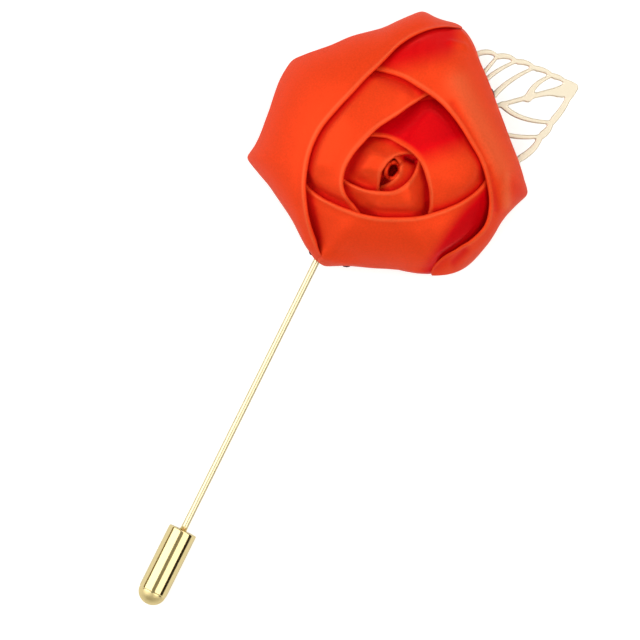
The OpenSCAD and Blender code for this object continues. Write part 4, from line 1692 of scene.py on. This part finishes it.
@dataclass
class PinCap:
    """The turned cap: a tube with a softened mouth, a blind bore, and a domed end behind a groove."""

    place: Place
    cap_d: float = 4.7
    body_l: float = 10.9
    dome_h: float = 2.2
    step: float = 0.08
    groove: float = 0.12
    groove_w: float = 0.05
    mouth_round: float = 0.22
    bore_r: float = 0.58
    bore_l: float = 10.3
    bore_chamfer: float = 0.12
    body_span: Pair = (0.05, 0.97)
    groove_end: float = 35.0
    dome_span: Pair = (88.0, 1.5)
    round_steps: int = 8
    body_steps: int = 12
    groove_steps: int = 5
    dome_steps: int = 40
    matt_fade: float = 0.4
    stations: int = 128

    def profile(self) -> Array:
        """Profile from the bore's end by its chamfered mouth over the body and the groove to the dome.

        Returns:
            Rows of place along the cap and radius.
        """
        r, dome_r = self.cap_d / 2, self.cap_d / 2 - self.step
        mouth, groove, dome_y = self.mouth_round, self.groove, self.body_l + self.groove_w
        return np.concatenate([
            [[self.bore_l, AXIS_R], [self.bore_l, self.bore_r]],
            [[self.bore_chamfer, self.bore_r], [0.0, self.bore_r + self.bore_chamfer]],
            arc_rows((mouth, r - mouth), (mouth, mouth), 180, 90, self.round_steps),
            [[self.body_l * t, r] for t in np.linspace(*self.body_span, self.body_steps)],
            arc_rows((self.body_l - groove, r - groove), (groove, groove), 90, self.groove_end,
                     self.groove_steps),
            [[self.body_l + 0.4 * self.groove_w, dome_r - 0.6 * self.groove_w]],
            arc_rows((dome_y, 0.0), (self.dome_h - self.groove_w, dome_r), *self.dome_span, self.dome_steps),
        ])

    def build(self) -> bpy.types.Object:
        """Builds the cap by turning its profile, and marks its dome as matt.

        Returns:
            The cap's object.
        """
        profile = self.profile()
        points, faces = lathe(profile, self.stations)
        points += np.array([self.place.pin_x, self.place.mouth_y, self.place.wire_z])
        matt = np.tile(ramp((profile[:, 0] - self.body_l) / self.matt_fade), self.stations)
        obj = build_object("cap_turned", points, faces, marks={"matt": matt})
        fit(obj, "pin_cap", "cap", CAP_METAL.make())
        return obj


@dataclass
class StickPin:
    """The wire with its grip notches and point, and the soldered pad under the felt."""

    place: Place
    wire_d: float = 1.1
    wire_round: float = 0.15
    wire_end_share: float = 0.8
    wire_span: Pair = (0.02, 0.985)
    wire_steps: int = 60
    point_l: float = 9.5
    taper_l: float = 3.0
    taper_power: float = 1.3
    taper_start: float = 0.1
    taper_steps: int = 12
    blunt_r: float = 0.03
    notches: int = 3
    notch_start: float = 0.1
    notch_depth: float = 0.2
    notch_l: float = 0.8
    notch_slope: float = 0.12
    notch_pitch: float = 1.8
    pad_d: float = 10.0
    pad_t: float = 0.45
    pad_edge: float = 0.15
    pad_edge_steps: int = 5
    pad_reach: float = 6.0
    pad_sink: float = 0.05
    wire_past_pad: float = 0.4
    stations: int = 64

    def wire_profile(self) -> Array:
        """Profile of the wire, from its end over the pad to its point.

        Returns:
            Rows of place along the pin from the bud's axis and radius.
        """
        r, low = self.wire_d / 2, self.wire_d / 2 - self.notch_depth
        start = self.pad_reach - self.wire_past_pad * self.pad_d
        rows = [[start, AXIS_R], [start, r * self.wire_end_share], [start + self.wire_round, r]]
        for t in np.linspace(*self.wire_span, self.wire_steps):
            rows.append([start + (MOUTH_REACH - start) * t, r])
        for i in range(self.notches):
            a = MOUTH_REACH + self.notch_start + i * self.notch_pitch
            b = a + self.notch_l
            rows += [[a, r], [a + self.notch_slope, low], [b - self.notch_slope, low], [b, r]]
        end = MOUTH_REACH + self.point_l
        rows.append([end - self.taper_l, r])
        for t in np.linspace(self.taper_start, 1, self.taper_steps):
            rows.append([end - self.taper_l * (1 - t), r * (1 - t**self.taper_power) + self.blunt_r])
        rows.append([end, AXIS_R / 2])
        return np.array(rows)

    def pad(self) -> tuple[Array, list[Array]]:
        """Builds the pad: a disc with rounded edges, turned round the upright axis.

        Returns:
            Its points and faces.
        """
        r, t, edge = self.pad_d / 2, self.pad_t, self.pad_edge
        profile = np.concatenate([
            [[0.0, AXIS_R], [0.0, r / 2]],
            arc_rows((edge, r - edge), (edge, edge), 180, 90, self.pad_edge_steps),
            arc_rows((t - edge, r - edge), (edge, edge), 90, 0, self.pad_edge_steps),
            [[t, r / 2], [t, AXIS_R]],
        ])
        points, faces = lathe(profile, self.stations)
        return np.stack([points[:, 0], points[:, 2], -points[:, 1]], axis=-1), flipped(faces)

    def build(self) -> bpy.types.Object:
        """Builds the wire and its pad as one piece of metal.

        Returns:
            The pin's object.
        """
        wire, wire_faces = lathe(self.wire_profile(), self.stations)
        wire += np.array([0.0, 0.0, self.place.wire_z])
        pad, pad_faces = self.pad()
        pad += np.array([0.0, -self.pad_reach, self.place.felt_low - self.pad_sink - self.pad_t])
        points = np.concatenate([wire, pad]) + np.array([self.place.pin_x, self.place.bud[1], 0.0])
        obj = build_object("pin_wire", points, wire_faces + [f + len(wire) for f in pad_faces])
        fit(obj, "stick_pin", "flower", PIN_METAL.make())
        return obj


# Studio


@dataclass(frozen=True)
class SoftBox:
    """A soft box: its side, the angles from straight up between which it shines, length, glow and tint."""

    name: str
    side: float
    low_angle: float
    high_angle: float
    length: float
    glow: float
    color: Color = (1.0, 1.0, 1.0)


@dataclass(frozen=True)
class Screen:
    """An upright screen: its distance to the right of the part, or to the left if negative, and height."""

    name: str
    reach: float
    height: float
    color: Color


@dataclass
class Studio:
    """Pale floor, soft lights and the camera straight above.

    Its sizes are in metres, but look_at and sensor_width are in millimetres.
    """

    place: Place
    height: float = 1.0
    view_width: float = 0.1024
    sensor_width: float = 36.0
    look_at: Pair = (0.253, -26.239)
    floor_size: float = 6.0
    floor_drop: float = 0.00002
    floor_color: Color = (0.72, 0.72, 0.72)
    floor_glow: float = 0.5
    floor_bounce: float = 0.12
    room_color: Color = (0.25, 0.23, 0.18)
    box_distance: float = 0.53
    box_shift: float = 0.16
    screen_length: float = 1.0
    sheet_roughness: float = 0.9
    sheet_specular: float = 0.1
    boxes: tuple[SoftBox, ...] = (
        SoftBox("soft_box_left", -1.0, 15.0, 73.0, 0.8, 1.6),
        SoftBox("soft_box_right", 1.0, 10.0, 58.0, 1.5, 1.44, (1.0, 0.96, 0.92)),
    )
    screens: tuple[Screen, ...] = (
        Screen("flag_right", 0.6, 0.38, (0.03, 0.02, 0.01)),
        Screen("flag_left", -0.7, 0.15, (0.3, 0.2, 0.08)),
    )

    def to_model(self, x: float, y: float, z: float) -> Triple:
        """A place of the flower's frame about the camera's aim, in the model."""
        return (*(np.array(self.aim()) + turned(x, y, FLOWER_TURN)), z)

    def aim(self) -> Pair:
        """The point on the table that the camera looks at."""
        return tuple((self.place.bud + np.array(self.look_at)) * MM)

    def camera(self) -> None:
        """Adds the camera, looking straight down with the flower's frame upright."""
        data = bpy.data.cameras.new("camera")
        data.sensor_width = self.sensor_width
        data.lens = self.sensor_width * self.height / self.view_width
        data.clip_end = 10.0 * self.height
        obj = bpy.data.objects.new("camera", data)
        obj.location = (*self.aim(), self.height)
        obj.rotation_euler = (0.0, 0.0, math.radians(FLOWER_TURN))
        bpy.context.scene.collection.objects.link(obj)
        bpy.context.scene.camera = obj

    def soft_box(self, box: SoftBox) -> None:
        """Adds a large soft box that leans over the part from one side.

        Args:
            box: the soft box.
        """
        data = bpy.data.lights.new(box.name, "AREA")
        data.shape = "RECTANGLE"
        half = math.radians(box.high_angle - box.low_angle) / 2
        data.size, data.size_y = 2 * self.box_distance * math.tan(half), box.length
        data.energy = box.glow * math.pi * data.size * data.size_y
        data.color = box.color
        obj = bpy.data.objects.new(box.name, data)
        lean = math.radians((box.low_angle + box.high_angle) / 2)
        across, up = self.box_distance * math.sin(lean), self.box_distance * math.cos(lean)
        obj.location = self.to_model(box.side * across, self.box_shift, up)
        obj.rotation_euler = (0.0, box.side * lean, math.radians(FLOWER_TURN))
        obj.visible_camera = False
        bpy.context.scene.collection.objects.link(obj)

    def stand(self, name: str, corners: list[Triple], material: bpy.types.Material) -> bpy.types.Object:
        """Adds a flat sheet of the studio.

        Args:
            name: its name.
            corners: its four corners in the model.
            material: its material.

        Returns:
            The sheet's object.
        """
        obj = build_object(name, np.array(corners) / MM, [np.array([[0, 1, 2, 3]])])
        obj.data.materials.append(material)
        return obj

    def screen(self, screen: Screen) -> None:
        """Adds an upright screen beside the part, whose reflection draws a dark line on polished metal.

        Args:
            screen: the screen.
        """
        half, reach, top = self.screen_length / 2, screen.reach, screen.height
        corners = [(reach, -half, 0.0), (reach, half, 0.0), (reach, half, top), (reach, -half, top)]
        card = Finish(screen.name + "_card", screen.color, self.sheet_roughness,
                      specular=self.sheet_specular, mottle=0.02)
        obj = self.stand(screen.name, [self.to_model(*c) for c in corners], card.make())
        obj.visible_camera = False

    def floor(self) -> None:
        """Adds the floor, a pale sheet that glows a little, as a lit table does."""
        material = new_material("floor_paper")
        tree = material.node_tree
        seen = add(tree, "ShaderNodeLightPath").outputs["Is Camera Ray"]
        add_shader(tree, {
            "Base Color": opaque(self.floor_color),
            "Roughness": self.sheet_roughness,
            "Specular IOR Level": self.sheet_specular,
            "Emission Color": (1.0, 1.0, 1.0, 1.0),
            "Emission Strength": work(tree, "MULTIPLY_ADD", seen, self.floor_glow, self.floor_bounce),
        })
        half, z = self.floor_size / 2, -self.floor_drop
        corners = [(-half, -half, z), (half, -half, z), (half, half, z), (-half, half, z)]
        self.stand("floor", corners, material)

    def world(self) -> None:
        """Sets a dim room that the camera itself sees as white."""
        world = bpy.data.worlds.new("room")
        bpy.context.scene.world = world
        world.use_nodes = True
        tree = world.node_tree
        tree.nodes.clear()
        dim = add(tree, "ShaderNodeBackground", {"Color": opaque(self.room_color)}).outputs[0]
        white = add(tree, "ShaderNodeBackground", {"Color": (1.0, 1.0, 1.0, 1.0)}).outputs[0]
        seen = add(tree, "ShaderNodeLightPath").outputs["Is Camera Ray"]
        mix = add(tree, "ShaderNodeMixShader", {"Fac": seen, 1: dim, 2: white}).outputs[0]
        add(tree, "ShaderNodeOutputWorld", {"Surface": mix})

    def build(self) -> None:
        """Sets up the camera, the floor, the room and the lights."""
        bpy.context.scene.view_settings.view_transform = "Standard"
        self.camera()
        self.floor()
        self.world()
        for box in self.boxes:
            self.soft_box(box)
        for screen in self.screens:
            self.screen(screen)


def main() -> None:
    """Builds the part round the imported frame."""
    logging.basicConfig(level=logging.INFO, format="%(message)s")
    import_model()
    place = Place.from_frame()
    Studio(place).build()
    form = RoseForm(place)
    Rose(form).build()
    FeltDisc(form).build()
    LeafSheet(place).build()
    PinCap(place).build()
    StickPin(place).build()


if __name__ == "__main__":
    main()
